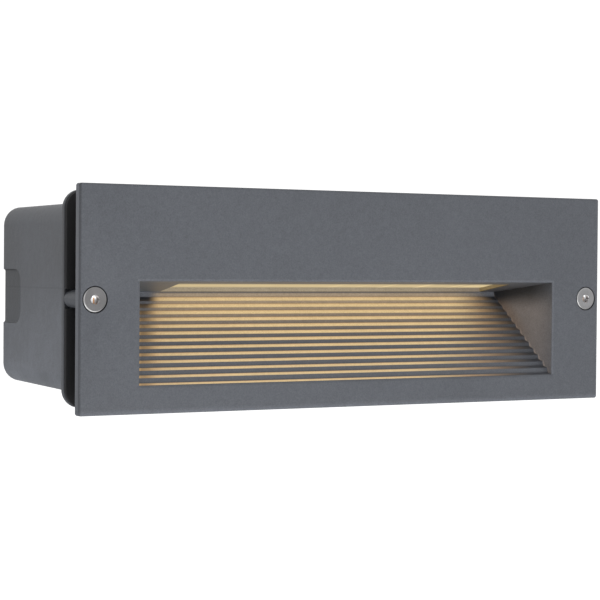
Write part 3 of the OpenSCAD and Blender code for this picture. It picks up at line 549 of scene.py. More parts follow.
def step_path():
    """The floor of the scoop in side view as depth and height. Nose i stands i runs in and
    i minus one rises above the first, each foot a little in front of its nose. An arc rounds
    each nose: its centre lies on the line that halves the corner, at the radius over the sine
    of half the corner, and its ends are where the radius over the tangent reaches the sides."""
    i = np.arange(1, STEP_COUNT)
    nose = np.stack([STEP_RUN * i, SCOOP_SILL + FIRST_STEP_H + STEP_RISE * (i - 1)], -1)
    k = np.arange(STEP_COUNT)
    front_h = np.concatenate([[SCOOP_SILL], nose[:, 1]])
    tread_rise = FIRST_TREAD_RISE + (LAST_TREAD_RISE - FIRST_TREAD_RISE) * k / (STEP_COUNT - 1)
    foot = np.stack([STEP_RUN * (k + 1) - RISER_LEAN, front_h + tread_rise], -1)
    down = foot[:-1] - nose
    back = foot[1:] - nose
    down /= np.linalg.norm(down, axis=1, keepdims=True)
    back /= np.linalg.norm(back, axis=1, keepdims=True)
    half = np.arccos((down * back).sum(1)) / 2
    middle = down + back
    middle /= np.linalg.norm(middle, axis=1, keepdims=True)
    middle = nose + middle * (NOSE_R / np.sin(half))[:, None]
    reach = (NOSE_R / np.tan(half))[:, None]
    p, q = nose + down * reach - middle, nose + back * reach - middle
    s = np.linspace(0, 1, 5)[None, :, None]
    arc = p[:, None] * (1 - s) + q[:, None] * s
    arc = middle[:, None] + arc / np.linalg.norm(arc, axis=2, keepdims=True) * NOSE_R
    beside = nose[:, None] + (back * (reach + 0.12))[:, None]
    below = nose[:, None] + (down * (reach + 0.12))[:, None]
    steps = np.concatenate([foot[:-1, None], below, arc, beside], 1).reshape(-1, 2)
    top = [[SCOOP_DEPTH, SCOOP_TOP - SCOOP_DEPTH * math.tan(CEILING_FALL) - 0.02]]
    return np.concatenate([[[0.0, SCOOP_SILL]], steps, foot[-1:], top])


def scoop_space():
    """The scoop's free space as rectangles one behind the other: the floor follows the steps,
    the ceiling falls evenly, and at the mouth all four sides flare by a quarter circle."""
    path = step_path()
    t = np.linspace(0, np.pi / 2, 5)
    mouth = np.concatenate([[-1.0], MOUTH_R * (1 - np.cos(t)), [MOUTH_R * 1.5]])
    flare = np.concatenate([[MOUTH_R], MOUTH_R * (1 - np.sin(t)), [0.0]])
    depth = np.concatenate([mouth, path[1:, 0]])
    flare = np.concatenate([flare, np.zeros(len(path) - 1)])
    floor = np.interp(depth, path[:, 0], path[:, 1]) - flare - HALF_FACE_H
    ceiling = SCOOP_TOP - np.maximum(depth, 0) * math.tan(CEILING_FALL) + flare - HALF_FACE_H
    half = SCOOP_HALF_W + flare
    rows = np.stack([FACE_Y + depth, -half, half, floor, ceiling, np.zeros_like(depth)], -1)
    return swept("scoop_space", rounded_rings(rows, steps=0))


def on_ceiling(points):
    """From across, along the ceiling and square to it, to the object's own axes: along and
    square are turned down by the ceiling's fall about the upper edge of the scoop's mouth."""
    x, along, above = np.moveaxis(points, -1, 0)
    c, s = math.cos(CEILING_FALL), math.sin(CEILING_FALL)
    return np.stack([x, FACE_Y + along * c + above * s,
                     SCOOP_TOP - HALF_FACE_H - along * s + above * c], -1)


def ceiling_block(name, outline, low, high):
    """A flat outline on the ceiling, raised square to it from low to high."""
    points = np.array([[(x, along, level) for x, along in outline] for level in (low, high)])
    return swept(name, on_ceiling(points[:, ::-1]))


def carried(name, path, half_w):
    """A side view given as depth and height, carried across from left to right."""
    path = np.array(path, float)
    side = np.stack([np.zeros(len(path)), FACE_Y + path[:, 0], path[:, 1] - HALF_FACE_H], -1)
    across = np.array([-half_w, half_w])[:, None, None] * np.array([1.0, 0, 0])
    return swept(name, side[None, ::-1] + across)


def lamp_room():
    """The room for the lamp and its gear, less the six bosses for the cover's screws."""
    fall, slope = math.tan(CEILING_FALL), STEP_RISE / STEP_RUN
    drop = slope * (STEP_RUN - RISER_LEAN) - FIRST_TREAD_RISE + STEP_WALL * math.hypot(1, slope)
    under_first = SCOOP_SILL + FIRST_STEP_H - drop
    under_last = under_first + slope * (LAMP_WALL_BACK - STEP_RUN)
    roof = SCOOP_TOP + CEILING_T / math.cos(CEILING_FALL)
    room = carried("lamp_room", [
        (PLATE_T, ROOM_TOP), (HOUSING_DEPTH + 1, ROOM_TOP), (HOUSING_DEPTH + 1, ROOM_LOW),
        (STEP_RUN + (ROOM_LOW - under_first) / slope, ROOM_LOW), (LAMP_WALL_BACK, under_last),
        (LAMP_WALL_BACK, roof - LAMP_WALL_BACK * fall), (PLATE_T, roof - PLATE_T * fall)],
        ROOM_HALF_W)
    for x in BOSS_X:
        for z, start in zip(BOSS_Z, BOSS_START):
            wide = (x - BOSS_R, x + BOSS_R)
            high = (z - BOSS_R, z + 3 * BOSS_R) if z > 0 else (z - 3 * BOSS_R, z + BOSS_R)
            rows = [(FACE_Y + depth, *wide, *high, BOSS_R - 0.01) for depth in (start, 70)]
            cut(room, swept("boss", rounded_rings(rows, steps=6)))
    return settle(room, metres=False)


def casting_body():
    """The plate with its rounded edges, then the housing behind it with its chin, as one run
    of outlines from the face to the rim."""
    plate_back = FACE_Y + PLATE_T
    rows = round_edge(FACE_Y, PLATE_BOX, PLATE_EDGE_R)
    rows += round_edge(plate_back, PLATE_BOX, 0.3, closing=True, steps=3)[1:]
    left, right, _, high, r = HOUSING_BOX
    chin = (left, right, CHIN_Z, high, r)
    rows += [inset_row(plate_back, chin, -0.6)]
    rows += [inset_row(plate_back + 0.5 * (1 - math.cos(a)), chin, -0.5 * (1 - math.sin(a)))
             for a in np.linspace(0, np.pi / 2, 4)]
    rows += [inset_row(FACE_Y + CHIN_FRONT, chin), inset_row(FACE_Y + CHIN_END, HOUSING_BOX)]
    rows += round_edge(FACE_Y + HOUSING_DEPTH, HOUSING_BOX, 0.3, closing=True, steps=3)
    return swept("face_casting_cast", rounded_rings(rows, steps=6))


def countersink(x):
    """The seat of a face screw: a soft mouth, the cone for the head, and the hole behind it."""
    rows = [(-1, FACE_HEAD_R + 0.5), (0, FACE_HEAD_R + 0.5), (0.06, FACE_HEAD_R + 0.36),
            (0.2, FACE_HEAD_R + 0.28), (0.7, FACE_HEAD_R + 0.22), (2.75, FACE_SCREW_R + 0.12),
            (PLATE_T + 1, FACE_SCREW_R + 0.08)]
    return swept("countersink", lathe_rings(rows, x, 0.0, 48, FACE_Y))


face_casting = casting_body()
cut(face_casting, scoop_space(), lamp_room(),
    ceiling_block("window", WINDOW, -1.0, WINDOW_LIP + 1.0),
    ceiling_block("glass_pocket", GLASS_POCKET, WINDOW_LIP, WINDOW_LIP + CEILING_T))
for x in (-SCREW_X, SCREW_X):
    cut(face_casting, countersink(x))
RIM_Y = FACE_Y + HOUSING_DEPTH
for x in BOSS_X:
    for z in BOSS_Z:
        cut(face_casting, drill(x, z, RIM_Y - 14.0, RIM_Y + 1.0, BOSS_HOLE_R, 20))
settle(face_casting)


def face_coat():
    """The coat on the face, with the lamp's warm light painted on the steps, the end walls, the
    ceiling and the window's rim, as far as it reaches. It falls on the treads from the window,
    fades out beyond the window's ends, and runs up the risers only close to the lamp. Painted
    shade and painted highlights lie in the coat's colour."""
    material, shader, spot, direction = new_material("coat_on_face_with_painted_light")
    grain = use_group(powder_grain, spot, Contrast=0.31)
    x, y, z = separated(spot)
    nx, ny, nz = separated(direction)
    across = abs(x)
    depth = y - FACE_Y / 1000
    height = z + HALF_FACE_H / 1000
    ceiling = depth * -math.tan(CEILING_FALL) + (SCOOP_TOP / 1000 + 0.0003)
    inside = ((across < 0.0968) * between(depth, 0.00035, 0.0415) * (height > 0.0104)
              * (height < ceiling))
    far_in = depth / (SCOOP_DEPTH / 1000)

    # How far the light reaches at each end, as a share of full light
    reach = far_in * 1.083 - 0.033
    right_start = reach * (reach * -0.027 + 0.082) + 0.013
    right_end = reach * (reach * -0.027 + 0.034) + 0.088
    right = fade(x, right_start, right_end, 1.0, 0.0) ** 0.82
    from_left = x - (depth * 0.492 - SCOOP_HALF_W / 1000)
    spill = worked("MINIMUM", reach * -0.40 + 0.63, reach * -1.2 + 1.2, clamp=True)
    left = fade(from_left, fade(reach, 0.85, 1.0, 0.0012, 0.0034), 0.0092, spill, 1.0)
    left = (left * fade(from_left, 0.004, 0.028, 0.86, 1.0)
            * fade(from_left, 0.0003, 0.0009, 1.3, 1.0))
    ends = left * right

    # Treads: painted lamp light, warm and bright, redder towards the foot of the next riser
    tread = worked("FRACT", depth / (STEP_RUN / 1000))
    upward = fade(nz, 0.5, 0.85) * inside
    band = upward * fade(tread, 0.0, 0.10, 0.8, 1.0) * fade(tread, 0.62, 0.81, 1.0, 0.6) * ends
    tread_glow = mixed(fade(tread, 0.45, 0.8), (0.635, 0.455, 0.222, 1), (0.54, 0.325, 0.142, 1))
    tread_glow = mixed(fade(right, 0.85, 0.35), tread_glow, (0.62, 0.385, 0.185, 1))
    tread_glow = mixed(fade(from_left, 0.002, 0.013), (0.62, 0.395, 0.180, 1), tread_glow)
    steps = times(tread_glow, band)

    # Risers: painted light near the lamp, a painted shade line at the foot, and painted pale
    # daylight at their ends
    facing = (nz < 0.6) * (ny < -0.4) * inside
    foot = fade(tread, 0.80, 0.87, 0.28, 0.0)
    under = ceiling - height
    riser = facing * fade(depth, 0.016, 0.044) ** 1.1 * ends
    riser = lessened(riser * fade(under, 0.0004, 0.0012, 0.15, 1.0), (foot, 1.0))
    risers = times((0.265, 0.185, 0.104), riser)
    unlit = worked("MAXIMUM", fade(far_in, 0.35, 1.0) * (1.0 - left),
                   fade(far_in, 0.94, 1.0) * (1.0 - right))
    daylight = times((0.034, 0.036, 0.041), facing * unlit)

    # End wall: painted light, with painted shadow darkest under the ceiling, warmer beside the
    # steps, and painted highlights along the steps' edges
    wall = (nx < -0.8) * inside
    first_nose = (SCOOP_SILL + FIRST_STEP_H - STEP_RISE) / 1000
    over_steps = height - (depth * (STEP_RISE / STEP_RUN) + first_nose)
    deep = fade(depth, 0.008, 0.030)
    beside = fade(over_steps, 0.0005, 0.0090, 1.0, 0.0) * deep
    wall_glow = mixed(beside, (0.088, 0.071, 0.060, 1), (0.090, 0.060, 0.040, 1))
    walls = times(wall_glow, wall * fade(under, 0.0022, deep * -0.0035 + 0.0125)
                  * fade(depth, -0.004, 0.012, 0.35, 1.0))
    ceiling_shadow = fade(under, 0.0003, 0.0110, 0.64, 0.0) * fade(depth, 0.0, 0.016, 0.15, 1.0)
    up_step = worked("FRACT", (depth + RISER_LEAN / 2000) / (STEP_RUN / 1000))
    foot_gap = abs(up_step * (-STEP_RISE / 1000) + (over_steps + STEP_RISE / 1000))
    edges_lit = times((0.075, 0.058, 0.046), wall * fade(foot_gap, 0.0006, 0.0014, 1.0, 0.0)
                      * fade(depth, 0.001, 0.005) * fade(depth, 0.022, 0.032, 1.0, 0.3))

    # Ceiling and the window's rim: painted warm light
    ceiling_glow = mixed(fade(from_left, 0.002, 0.009), (0.012, 0.017, 0.021, 1),
                         (0.035, 0.032, 0.028, 1))
    ceilings = times(ceiling_glow, (nz < -0.8) * inside * fade(x, 0.060, 0.085, 1.0, 0.1))
    s, c = math.sin(CEILING_FALL), math.cos(CEILING_FALL)
    above = depth * s + (height * c - SCOOP_TOP / 1000 * c)
    rim = (fade(above, 0.00002, 0.0002) * (above < 0.00175) * (across < 0.0900)
           * between(depth, 0.0060, 0.0425))
    rim_glow = mixed(fade(x, 0.0500, 0.0860), (0.24, 0.185, 0.105, 1), (0.15, 0.11, 0.065, 1))
    rim_glow = mixed(nx < -0.5, rim_glow, (0.13, 0.085, 0.025, 1))
    lit = summed(steps, risers, daylight, walls, edges_lit, ceilings, times(rim_glow, rim))

    # The coat's grain, with painted shade and highlights in its colour: darker along the face's
    # left and top edges, lighter along its right and bottom edges, painted shade in the screws'
    # seats, a painted highlight along the mouth's top and right edges and painted shade along its
    # sill, and painted shade on the unlit treads, at the risers' feet and on the end wall
    front = depth < 0.0007
    off_screw = across - SCREW_X / 1000
    off_screw = worked("SQRT", off_screw * off_screw + z * z)
    seat = fade(off_screw, 0.00495, 0.00515, 1.0, 0.0) * fade(z, 0.0045, -0.0020, 0.6, 1.0)
    lip = (depth < 0.0004) * (across < 0.0974)
    tread_shade = fade(from_left, 0.0, 0.010, 0.6, 0.2) * fade(depth, 0.030, 0.036, 1.0, 0.8)
    shade = lessened(grain["Shade"],
                     (front * fade(x, -0.1200, -0.1206), 0.42),
                     (front * fade(x, 0.1198, 0.1208), -0.1),
                     (front * fade(z, 0.0412, 0.0422), 0.1),
                     (front * fade(z, -0.0402, -0.0424), -0.4),
                     (seat, 0.75),
                     (lip * between(height, 0.0492, 0.0501), -0.22),
                     (lip * between(height, 0.0097, 0.0106), 0.14),
                     (lip * (x > 0.0965) * between(height, 0.0106, 0.0492), -0.17),
                     (upward, tread_shade), (facing, foot), (wall, ceiling_shadow), (wall * beside, 0.15))
    dress(shader, Base_Color=times(COAT, shade), Roughness=grain["Spots"] * 0.16 + 0.46,
          Normal=bumped(grain["Height"], 0.3, 0.0001), Specular_IOR_Level=0.4,
          Emission_Color=times(lit, grain["Shade"]), Emission_Strength=1.0)
    return material


set_finish(face_casting, face_coat())
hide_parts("face_casting")
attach(face_casting, "luminaire")


# Window glass, lamp and gear
# Opal glass lies on the window's lip in a bead of silicone. A white frame carries the light
# down to it from a board of chips, which hangs under a folded aluminium tray.
def plain_finish(name, colour, roughness, variation=0.08, scale=900.0, metallic=0.0, bump=0.1):
    """A moulded or rolled surface: its colour and gloss change a little over fine grain."""
    material, shader, spot, _ = new_material(name)
    grain = noise(spot, scale, 3.0, 0.6)
    wide = noise(spot, scale / 14)
    least = 1.0 - variation / 2
    shade = (grain * variation + least) * (wide * variation + least)
    dress(shader, Base_Color=times(colour, shade), Roughness=wide * 0.14 + (roughness - 0.07),
          Normal=bumped(grain, bump, 0.00008), Metallic=metallic)
    return material


def glass_finish():
    """Opal glass, lit from above: brightest under the row of chips and towards the back, with
    painted glints along it.
    """
    material, shader, spot, _ = new_material("opal_lit")
    x, y, _ = separated(spot)
    depth = y - FACE_Y / 1000
    cloudy = noise(spot, 60.0)
    along = through(material.node_tree, "ShaderNodeCombineXYZ", {"X": x})
    # Painted glints along the glass
    painted_glints = fade(noise(along, 160.0, 1.0), 0.52, 0.64) * fade(x, -0.010, 0.040)
    painted_glints = worked("MAXIMUM", painted_glints, fade(x, 0.0735, 0.0765))
    bright = (fade(depth, 0.022, 0.033, 0.3, 1.0) * fade(depth, 0.0350, 0.0390, 1.0, 0.55)
              * (cloudy * 0.2 + 0.9) * (painted_glints * 0.42 + 1.0))
    dress(shader, Base_Color=times((0.34, 0.32, 0.27), cloudy * 0.1 + 0.9),
          Roughness=cloudy * 0.1 + 0.45, Specular_IOR_Level=0.25,
          Emission_Color=times((0.42, 0.335, 0.175), bright), Emission_Strength=1.0)
    return material


def refinish(node, material):
    """A CAD solid whose shape is right keeps its mesh and gets its material."""
    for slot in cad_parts[node].material_slots:
        slot.material = material


zinc = plain_finish("zinc_plate", (0.58, 0.59, 0.61), 0.34, 0.12, 1600.0, 1.0, 0.12)
rubber = plain_finish("moulded_rubber", (0.020, 0.020, 0.022), 0.62, 0.3, 1500.0, 0.0, 0.3)
black_nylon = plain_finish("black_nylon", (0.021, 0.021, 0.024), 0.48, 0.3, 1300.0, 0.0, 0.25)
aluminium = plain_finish("rolled_aluminium", (0.60, 0.61, 0.63), 0.38, 0.1, 700.0, 1.0, 0.15)
refinish("window_glass", glass_finish())
refinish("window_bead", plain_finish("silicone_bead", (0.55, 0.55, 0.53), 0.35, 0.06, 400.0))
refinish("reflector", plain_finish("white_moulding", (0.84, 0.84, 0.81), 0.25, 0.03, 600.0))
refinish("led_board", plain_finish("solder_resist", (0.82, 0.82, 0.78), 0.42, 0.05, 800.0))
refinish("led_chips", plain_finish("phosphor_gel", (0.86, 0.70, 0.20), 0.3, 0.1, 2000.0))
refinish("board_screws", zinc)
refinish("gear_tray", aluminium)
refinish("tray_screws", zinc)

# Driver and its lead
# The driver is a potted plastic block on the rear cover, with an ear and a screw at each end.
# A flat twin lead goes over the frame to the board.
refinish("led_driver", plain_finish("driver_case", (0.74, 0.74, 0.71), 0.46, 0.05, 1000.0))
refinish("driver_screws", zinc)
refinish("led_lead", plain_finish("lead_insulation", (0.42, 0.05, 0.03), 0.4, 0.1, 900.0))

# Rear cover
# An aluminium plate closes the housing on a silicone seal. Six socket screws hold it. It
# carries the gland, through which the flex comes in, and a breather vent.
COVER_Y = 43.3045
COVER_BACK = 46.3045
COVER_HOLE_R = 2.08
LEG_X = (-58.75, 71.25)
LEG_Z = 8.983
EAR_X = (-70.5, 30.5)
DRIVER_Z = -8.4835
TAP_R = 1.58
GLAND = (50.0, -6.067)
GLAND_R = 6.0
GLAND_HOLE_R = 6.08
GLAND_FLAT = 8.5
GLAND_BORE = 3.4
SHOULDER = COVER_BACK + 4.5
SEAL_Y = SHOULDER + 5.4
VENT = (-82.9975, 0.5)
VENT_HOLE_R = 3.08


def turned(name, rows, x, z, start, steps=48):
    """A ring-shaped piece: its section, given as depth and radius, goes round the outside from
    front to back and returns through the bore."""
    rings = lathe_rings(rows, x, z, steps, start)
    return settle(add_mesh(name, rings, grid_faces(len(rings), steps, loop_rows=True)))


def thread_rings(y0, y1, r, pitch, ridge, x, z, steps=48):
    """A ridge that winds round a shank: the radius falls and rises by the ridge's height with
    the fraction of depth over pitch, less the share of a turn."""
    y = np.arange(y0, y1, pitch / 6)[:, None]
    turn = np.linspace(0, 2 * np.pi, steps, endpoint=False)[None]
    wave = np.abs(((y / pitch - turn / (2 * np.pi)) % 1) * 2 - 1)
    reach = r - ridge + ridge * wave
    px = x + reach * np.cos(turn)
    return np.stack([px, np.broadcast_to(y, px.shape), z + reach * np.sin(turn)], -1)


def wears(obj, node, material, body):
    """Puts a new piece in the place of a CAD node."""
    set_finish(obj, material)
    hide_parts(node)
    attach(obj, body)


def cover_screw(x, z):
    """Tip, threaded shank, and a round head with its socket, from front to back."""
    tip = lathe_rings([(-14.0, 1.5), (-13.5, 1.9)], x, z, 24, COVER_BACK)
    shank = thread_rings(COVER_BACK - 13.4, COVER_Y - 0.4, 2.0, 0.7, 0.22, x, z, 24)
    head = lathe_rings(
        [(COVER_Y - COVER_BACK - 0.2, 2.0), (0, 2.0), (0, 3.35), (0.15, 3.5), (2.05, 3.5),
         (2.3, 3.4), (2.4, 3.15), (2.4, 1.75), (2.32, 1.5, 0.3), (2.15, 1.25, 1), (0.8, 1.25, 1),
         (0.7, 0.05, 1)], x, z, 24, COVER_BACK)
    return swept("cover_screws_turned", np.concatenate([tip, shank, head]))


refinish("cover_seal", rubber)
rows = round_edge(COVER_Y, HOUSING_BOX, 0.2, steps=2)
rows += round_edge(COVER_BACK, HOUSING_BOX, 0.5, closing=True)
rear_cover = swept("rear_cover_plate", rounded_rings(rows, steps=6))
bosses = [(x, z) for x in BOSS_X for z in BOSS_Z]
taps = [(x, LEG_Z) for x in LEG_X] + [(x, DRIVER_Z) for x in EAR_X]
for spots, end, r, steps in ((bosses, COVER_BACK + 1.0, COVER_HOLE_R, 32),
                             (taps, COVER_Y + 2.3, TAP_R, 20),
                             ([GLAND], COVER_BACK + 1.0, GLAND_HOLE_R, 40),
                             ([VENT], COVER_BACK + 1.0, VENT_HOLE_R, 32)):
    for x, z in spots:
        cut(rear_cover, drill(x, z, COVER_Y - 1.0, end, r, steps))
wears(settle(rear_cover), "rear_cover", aluminium, "luminaire")

screws, *others = [cover_screw(*boss) for boss in bosses]
weld(screws, *others)
wears(settle(screws, crease=28.0), "cover_screws", zinc, "luminaire")

plug = swept("vent_plug_moulded", lathe_rings(
    [(0, 0.05), (0, 1.2), (-4.5, 1.2), (-4.5, 2.8), (-4.3, 3.0), (0, 3.0), (0, 4.8), (0.15, 5.0),
     (1.3, 5.0), (1.9, 4.75), (2.2, 4.2), (2.2, 2.4), (2.05, 2.1), (2.05, 0.05)],
    *VENT, 40, COVER_BACK))
wears(settle(plug), "vent_plug", black_nylon, "luminaire")

rings = np.concatenate([
    lathe_rings([(-4.0, 5.6)], *GLAND, 48, COVER_Y),
    thread_rings(COVER_Y - 3.9, COVER_Y - 0.2, GLAND_R, 1.5, 0.4, *GLAND),
    lathe_rings([(COVER_Y, GLAND_R), (COVER_BACK, GLAND_R), (COVER_BACK, 8.1, 0.6),
                 (COVER_BACK + 0.4, GLAND_FLAT, 1), (SHOULDER - 0.4, GLAND_FLAT, 1),
                 (SHOULDER, 8.1, 0.6), (SHOULDER, GLAND_R)], *GLAND, 48),
    thread_rings(SHOULDER + 0.3, SHOULDER + 5.2, GLAND_R, 1.5, 0.4, *GLAND),
    lathe_rings([(SEAL_Y, 5.6), (SEAL_Y, GLAND_BORE), (COVER_Y - 4.0, GLAND_BORE)], *GLAND, 48)])
faces = grid_faces(*rings.shape[:2], loop_rows=True)
gland_body = settle(add_mesh("gland_body_moulded", rings, faces))
gland_nut = turned("gland_nut_moulded", [
    (-3.0, 6.1), (-3.0, 8.1, 0.6), (-2.6, GLAND_FLAT, 1), (-0.3, GLAND_FLAT, 1), (0, 8.2, 0.7),
    (0, 6.1)], *GLAND, COVER_Y)
gland_seal = turned("gland_seal_moulded", [
    (0, 5.9), (0.2, 6.0), (1.8, 6.0), (2.0, 5.8), (2.0, 3.6), (1.8, 3.4), (0.2, 3.4), (0, 3.6)],
    *GLAND, SEAL_Y, 40)
gland_cap = turned("gland_cap_moulded", [
    (0, 6.1), (0, 8.1, 0.6), (0.4, GLAND_FLAT, 1), (4.55, GLAND_FLAT, 1), (4.95, 8.1, 0.6),
    (5.1, 8.1), (7.4, 8.1), (8.3, 7.6), (8.8, 6.6), (9.0, 5.4), (9.0, 3.8), (8.8, GLAND_BORE),
    (7.4, GLAND_BORE), (7.4, 6.1)], *GLAND, SHOULDER)
wears(gland_body, "gland_body", black_nylon, "luminaire")
wears(gland_nut, "gland_nut", black_nylon, "luminaire")
wears(gland_seal, "gland_seal", rubber, "luminaire")
wears(gland_cap, "gland_cap", black_nylon, "luminaire")

# Wiring in the box
# The supply cable comes in through a rubber grommet, its cores go to a three-pole terminal
# block on two posts, and the earth core to a ring tag on a boss.
brass = plain_finish("turned_brass", (0.62, 0.47, 0.19), 0.3, 0.12, 1200.0, 1.0, 0.1)
grommet = turned("cable_grommet_moulded", [
    (-1.5, 3.8), (-1.5, 8.4), (-1.25, 8.85), (-0.8, 9.0), (0, 9.0), (0, 7.0),
    (BOX_WALL - 0.2, 7.0), (BOX_WALL, 6.8), (BOX_WALL, 3.8), (BOX_WALL - 0.3, 3.5), (-1.2, 3.5)],
    *GROMMET_SPOT, BOX_FLOOR_Y)
wears(grommet, "cable_grommet", rubber, "recess_box")
refinish("terminal_block", plain_finish("ivory_nylon", (0.70, 0.67, 0.58), 0.42, 0.06, 900.0))
refinish("terminal_clamps", brass)
refinish("terminal_screws", zinc)
refinish("terminal_fixings", zinc)
refinish("earth_tag", brass)
refinish("earth_screw", zinc)

# Flange gasket
# Two strips of black closed-cell foam lie on the flange, above and below the pillars.
FOAM_Y = -FLANGE_T - 1.5
FOAM_OUTER = (-119.0, 119.0, -40.5, 40.5, 6.9)
FOAM_INNER = (-112.6, 112.6, -34.1, 34.1, 5.1)
FOAM_SECTION = [(0.0, 0.35), (0.08, 0.12), (0.3, 0.0), (1.2, 0.0), (1.42, 0.12), (1.5, 0.3)]
rows = [inset_row(FOAM_Y + y, FOAM_OUTER, i) for y, i in FOAM_SECTION]
rows += [inset_row(FOAM_Y + y, FOAM_INNER, -i) for y, i in FOAM_SECTION[::-1]]
rings = rounded_rings(rows, steps=8)
foam = add_mesh("flange_gasket_foam", rings, grid_faces(*rings.shape[:2], loop_rows=True))
for x in (-116.0, 116.0):
    rows = [(y, x - 8, x + 8, -3.65, 3.65, 0.01) for y in (FOAM_Y - 1, FOAM_Y + 3)]
    cut(foam, swept("gap", rounded_rings(rows, steps=1)))
black_foam = plain_finish("closed_cell_foam", (0.006, 0.006, 0.007), 0.85, 0.5, 2200.0, 0.0, 0.6)
wears(settle(foam), "flange_gasket", black_foam, "recess_box")


# Face screws
# Two stainless countersunk screws hold the luminaire in its box. Their heads are turned, with
# a fine rim, and driven by a hexagonal socket.
def face_screw(name, x):
    """Rings from the bottom of the socket out over the head, down the cone and along the
    threaded shank to its tip."""
    head = lathe_rings(
        [(2.25, 0.05, 1), (2.0, SOCKET_R * 0.92, 1), (1.9, SOCKET_R, 1), (0.32, SOCKET_R, 1),
         (0.22, SOCKET_R + 0.03, 0.9), (0.04, SOCKET_R + 0.30, 0.1), (0.03, SOCKET_R + 0.40),
         (0.03, FACE_HEAD_R - 0.62), (0.03, FACE_HEAD_R - 0.45), (0.08, FACE_HEAD_R - 0.22),
         (0.18, FACE_HEAD_R - 0.08), (0.36, FACE_HEAD_R), (0.5, FACE_HEAD_R - 0.06),
         (2.4, FACE_SCREW_R + 0.05), (2.6, FACE_SCREW_R), (3.2, FACE_SCREW_R)], x, 0.0, 48, FACE_Y)
    shank = thread_rings(FACE_Y + 3.3, FACE_Y + 15.6, FACE_SCREW_R, 0.8, 0.3, x, 0.0)
    end = [(15.7, FACE_SCREW_R - 0.35), (16.0, FACE_SCREW_R - 0.65)]
    end = lathe_rings(end, x, 0.0, 48, FACE_Y)
    return settle(swept(name, np.concatenate([head, shank, end])), crease=28.0)


def stainless_finish(x):
    """Stainless steel with the rings that turning leaves, round the screw's own axis. The
    socket's reflections are painted: pale above and dark below, with a warm stripe between. A
    painted highlight runs round the head's lower-left rim, and the left head is painted darker
    than the right for the light that falls on each."""
    material, shader, spot, _ = new_material("stainless_turned_painted_reflections")
    # Painted light: the left head's tone is darker than the right's, and each socket has its own
    # painted warm reflection
    head_painted_tone = (0.170, 0.168, 0.170, 1) if x < 0 else (0.275, 0.275, 0.280, 1)
    socket_warm_reflection = (0.48, 0.25, 0.11, 1) if x < 0 else (0.42, 0.31, 0.24, 1)
    px, _, pz = separated(spot)
    px = px - x / 1000
    distance = worked("SQRT", px * px + pz * pz)
    rings = worked("SINE", distance * 36000.0)
    grain = noise(spot, 1800.0, 3.0)
    # Painted highlight round the head's rim, on its lower left
    rim = (fade(distance, 0.00410, 0.00440)
           * fade(px * -0.75 + pz * -0.66, -0.0005, 0.0035, 0.12, 1.0))
    # Painted reflections in the socket: a warm stripe, pale above and dark below
    stripe = fade(abs(px - 0.00035), 0.0001, 0.0005, 1.0, 0.0) * fade(pz, 0.0012, 0.0004)
    socket = mixed(fade(pz - px, -0.0020, 0.0006), (0.30, 0.29, 0.29, 1), (0.98, 0.99, 1.0, 1))
    steel = mixed(fade(distance, 0.00155, 0.00185, 1.0, 0.0),
                  mixed(rim, head_painted_tone, (0.50, 0.50, 0.50, 1)), mixed(stripe, socket, socket_warm_reflection))
    dress(shader, Base_Color=times(steel, rings * 0.03 + (grain * 0.12 + 0.92)), Metallic=1.0,
          Roughness=grain * 0.16 + 0.26, Normal=bumped(rings, 0.12, 0.00004))
    return material


for name, x in (("face_screw_left", -SCREW_X), ("face_screw_right", SCREW_X)):
    wears(face_screw(name + "_turned", x), name, stainless_finish(x), name)


# Studio
# A pale floor, soft lamps at a plain level, and the camera at the photograph's angle.
FLOOR_Z = -0.3


def floor_finish():
    """A pale floor that looks white to the camera."""
    material, shader, spot, _ = new_material("pale_floor")
    seen = place(material.node_tree, "ShaderNodeLightPath").outputs
    dress(shader, Base_Color=times((0.86, 0.86, 0.86), noise(spot, 30.0) * 0.02 + 0.99),
          Roughness=0.9, Emission_Color=(1, 1, 1, 1),
          Emission_Strength=Value(seen["Is Camera Ray"]) * 0.7)
    return material


corners = [(-6.0, -6.0), (6.0, -6.0), (6.0, 6.0), (-6.0, 6.0)]
floor = add_mesh("floor", np.array([(x, y, FLOOR_Z) for x, y in corners]), np.array([[0, 1, 2, 3]]))
floor.data.materials.append(floor_finish())

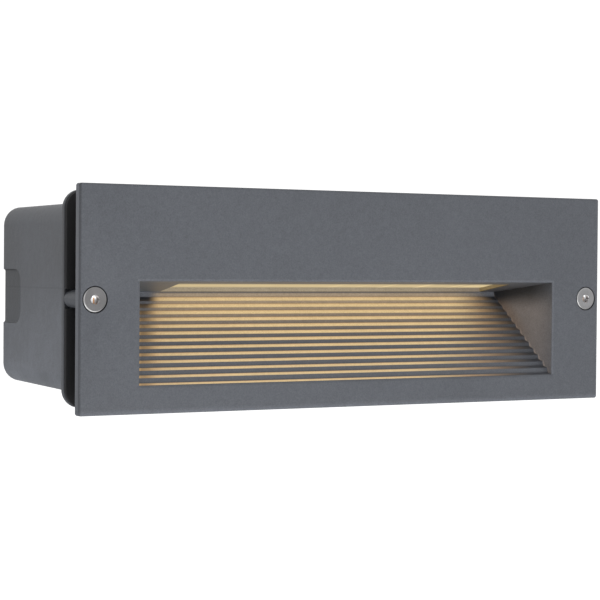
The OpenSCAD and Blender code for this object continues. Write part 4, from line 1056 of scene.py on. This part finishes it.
# The sky is brighter where it is seen or mirrored than where it only lights
world = bpy.data.worlds.new("studio")
bpy.context.scene.world = world
world.use_nodes = True
world.node_tree.nodes.clear()
seen = place(world.node_tree, "ShaderNodeLightPath").outputs
to_camera, to_gloss, to_glass = (
    Value(seen[f"Is {kind} Ray"]) for kind in ("Camera", "Glossy", "Transmission"))
direct = worked("MAXIMUM", worked("MAXIMUM", to_camera, to_gloss), to_glass)
sky = place(world.node_tree, "ShaderNodeBackground")
dress(sky, Color=(1, 1, 1, 1), Strength=direct * 0.5 + 0.5 + to_camera * 0.1)
output = place(world.node_tree, "ShaderNodeOutputWorld")
world.node_tree.links.new(sky.outputs[0], output.inputs[0])


def soft_lamp(name, spot, aim, size, power):
    """A soft rectangular lamp at a spot, turned towards its aim and unseen by the camera."""
    lamp = bpy.data.lights.new(name, "AREA")
    lamp.shape = "RECTANGLE"
    lamp.size, lamp.size_y = size
    lamp.energy = power
    obj = bpy.data.objects.new(name, lamp)
    bpy.context.scene.collection.objects.link(obj)
    obj.location = spot
    dx, dy, dz = np.subtract(aim, spot)
    obj.rotation_euler = (math.atan2(math.hypot(dx, dy), -dz), 0.0, math.atan2(dx, -dy) + math.pi)
    obj.visible_camera = False


soft_lamp("key", (-1.2, -1.0, 0.5), (0, 0, 0), (1.2, 1.2), 2.0)
soft_lamp("low", (-0.03, -0.43, -0.24), (0.0, 0.0, -0.02), (0.5, 0.3), 1.2)
soft_lamp("side", (-0.55, -0.05, -0.24), (-0.115, 0.035, 0.0), (0.4, 0.3), 0.72)
soft_lamp("fill", (1.3, -1.4, 0.4), (0, 0, 0), (1.4, 1.2), 2.45)

camera = bpy.data.objects.new("camera", bpy.data.cameras.new("camera"))
bpy.context.scene.collection.objects.link(camera)
camera.location = (-0.40851817, -0.65340199, 0.01232569)
camera.rotation_euler = tuple(math.radians(v) for v in (89.02057918, -0.44711039, -31.00512238))
camera.data.lens = 114.384
camera.data.sensor_width = 36.0
camera.data.sensor_fit = "HORIZONTAL"
camera.data.clip_start = 0.05
bpy.context.scene.camera = camera
bpy.context.scene.view_settings.view_transform = "Standard"
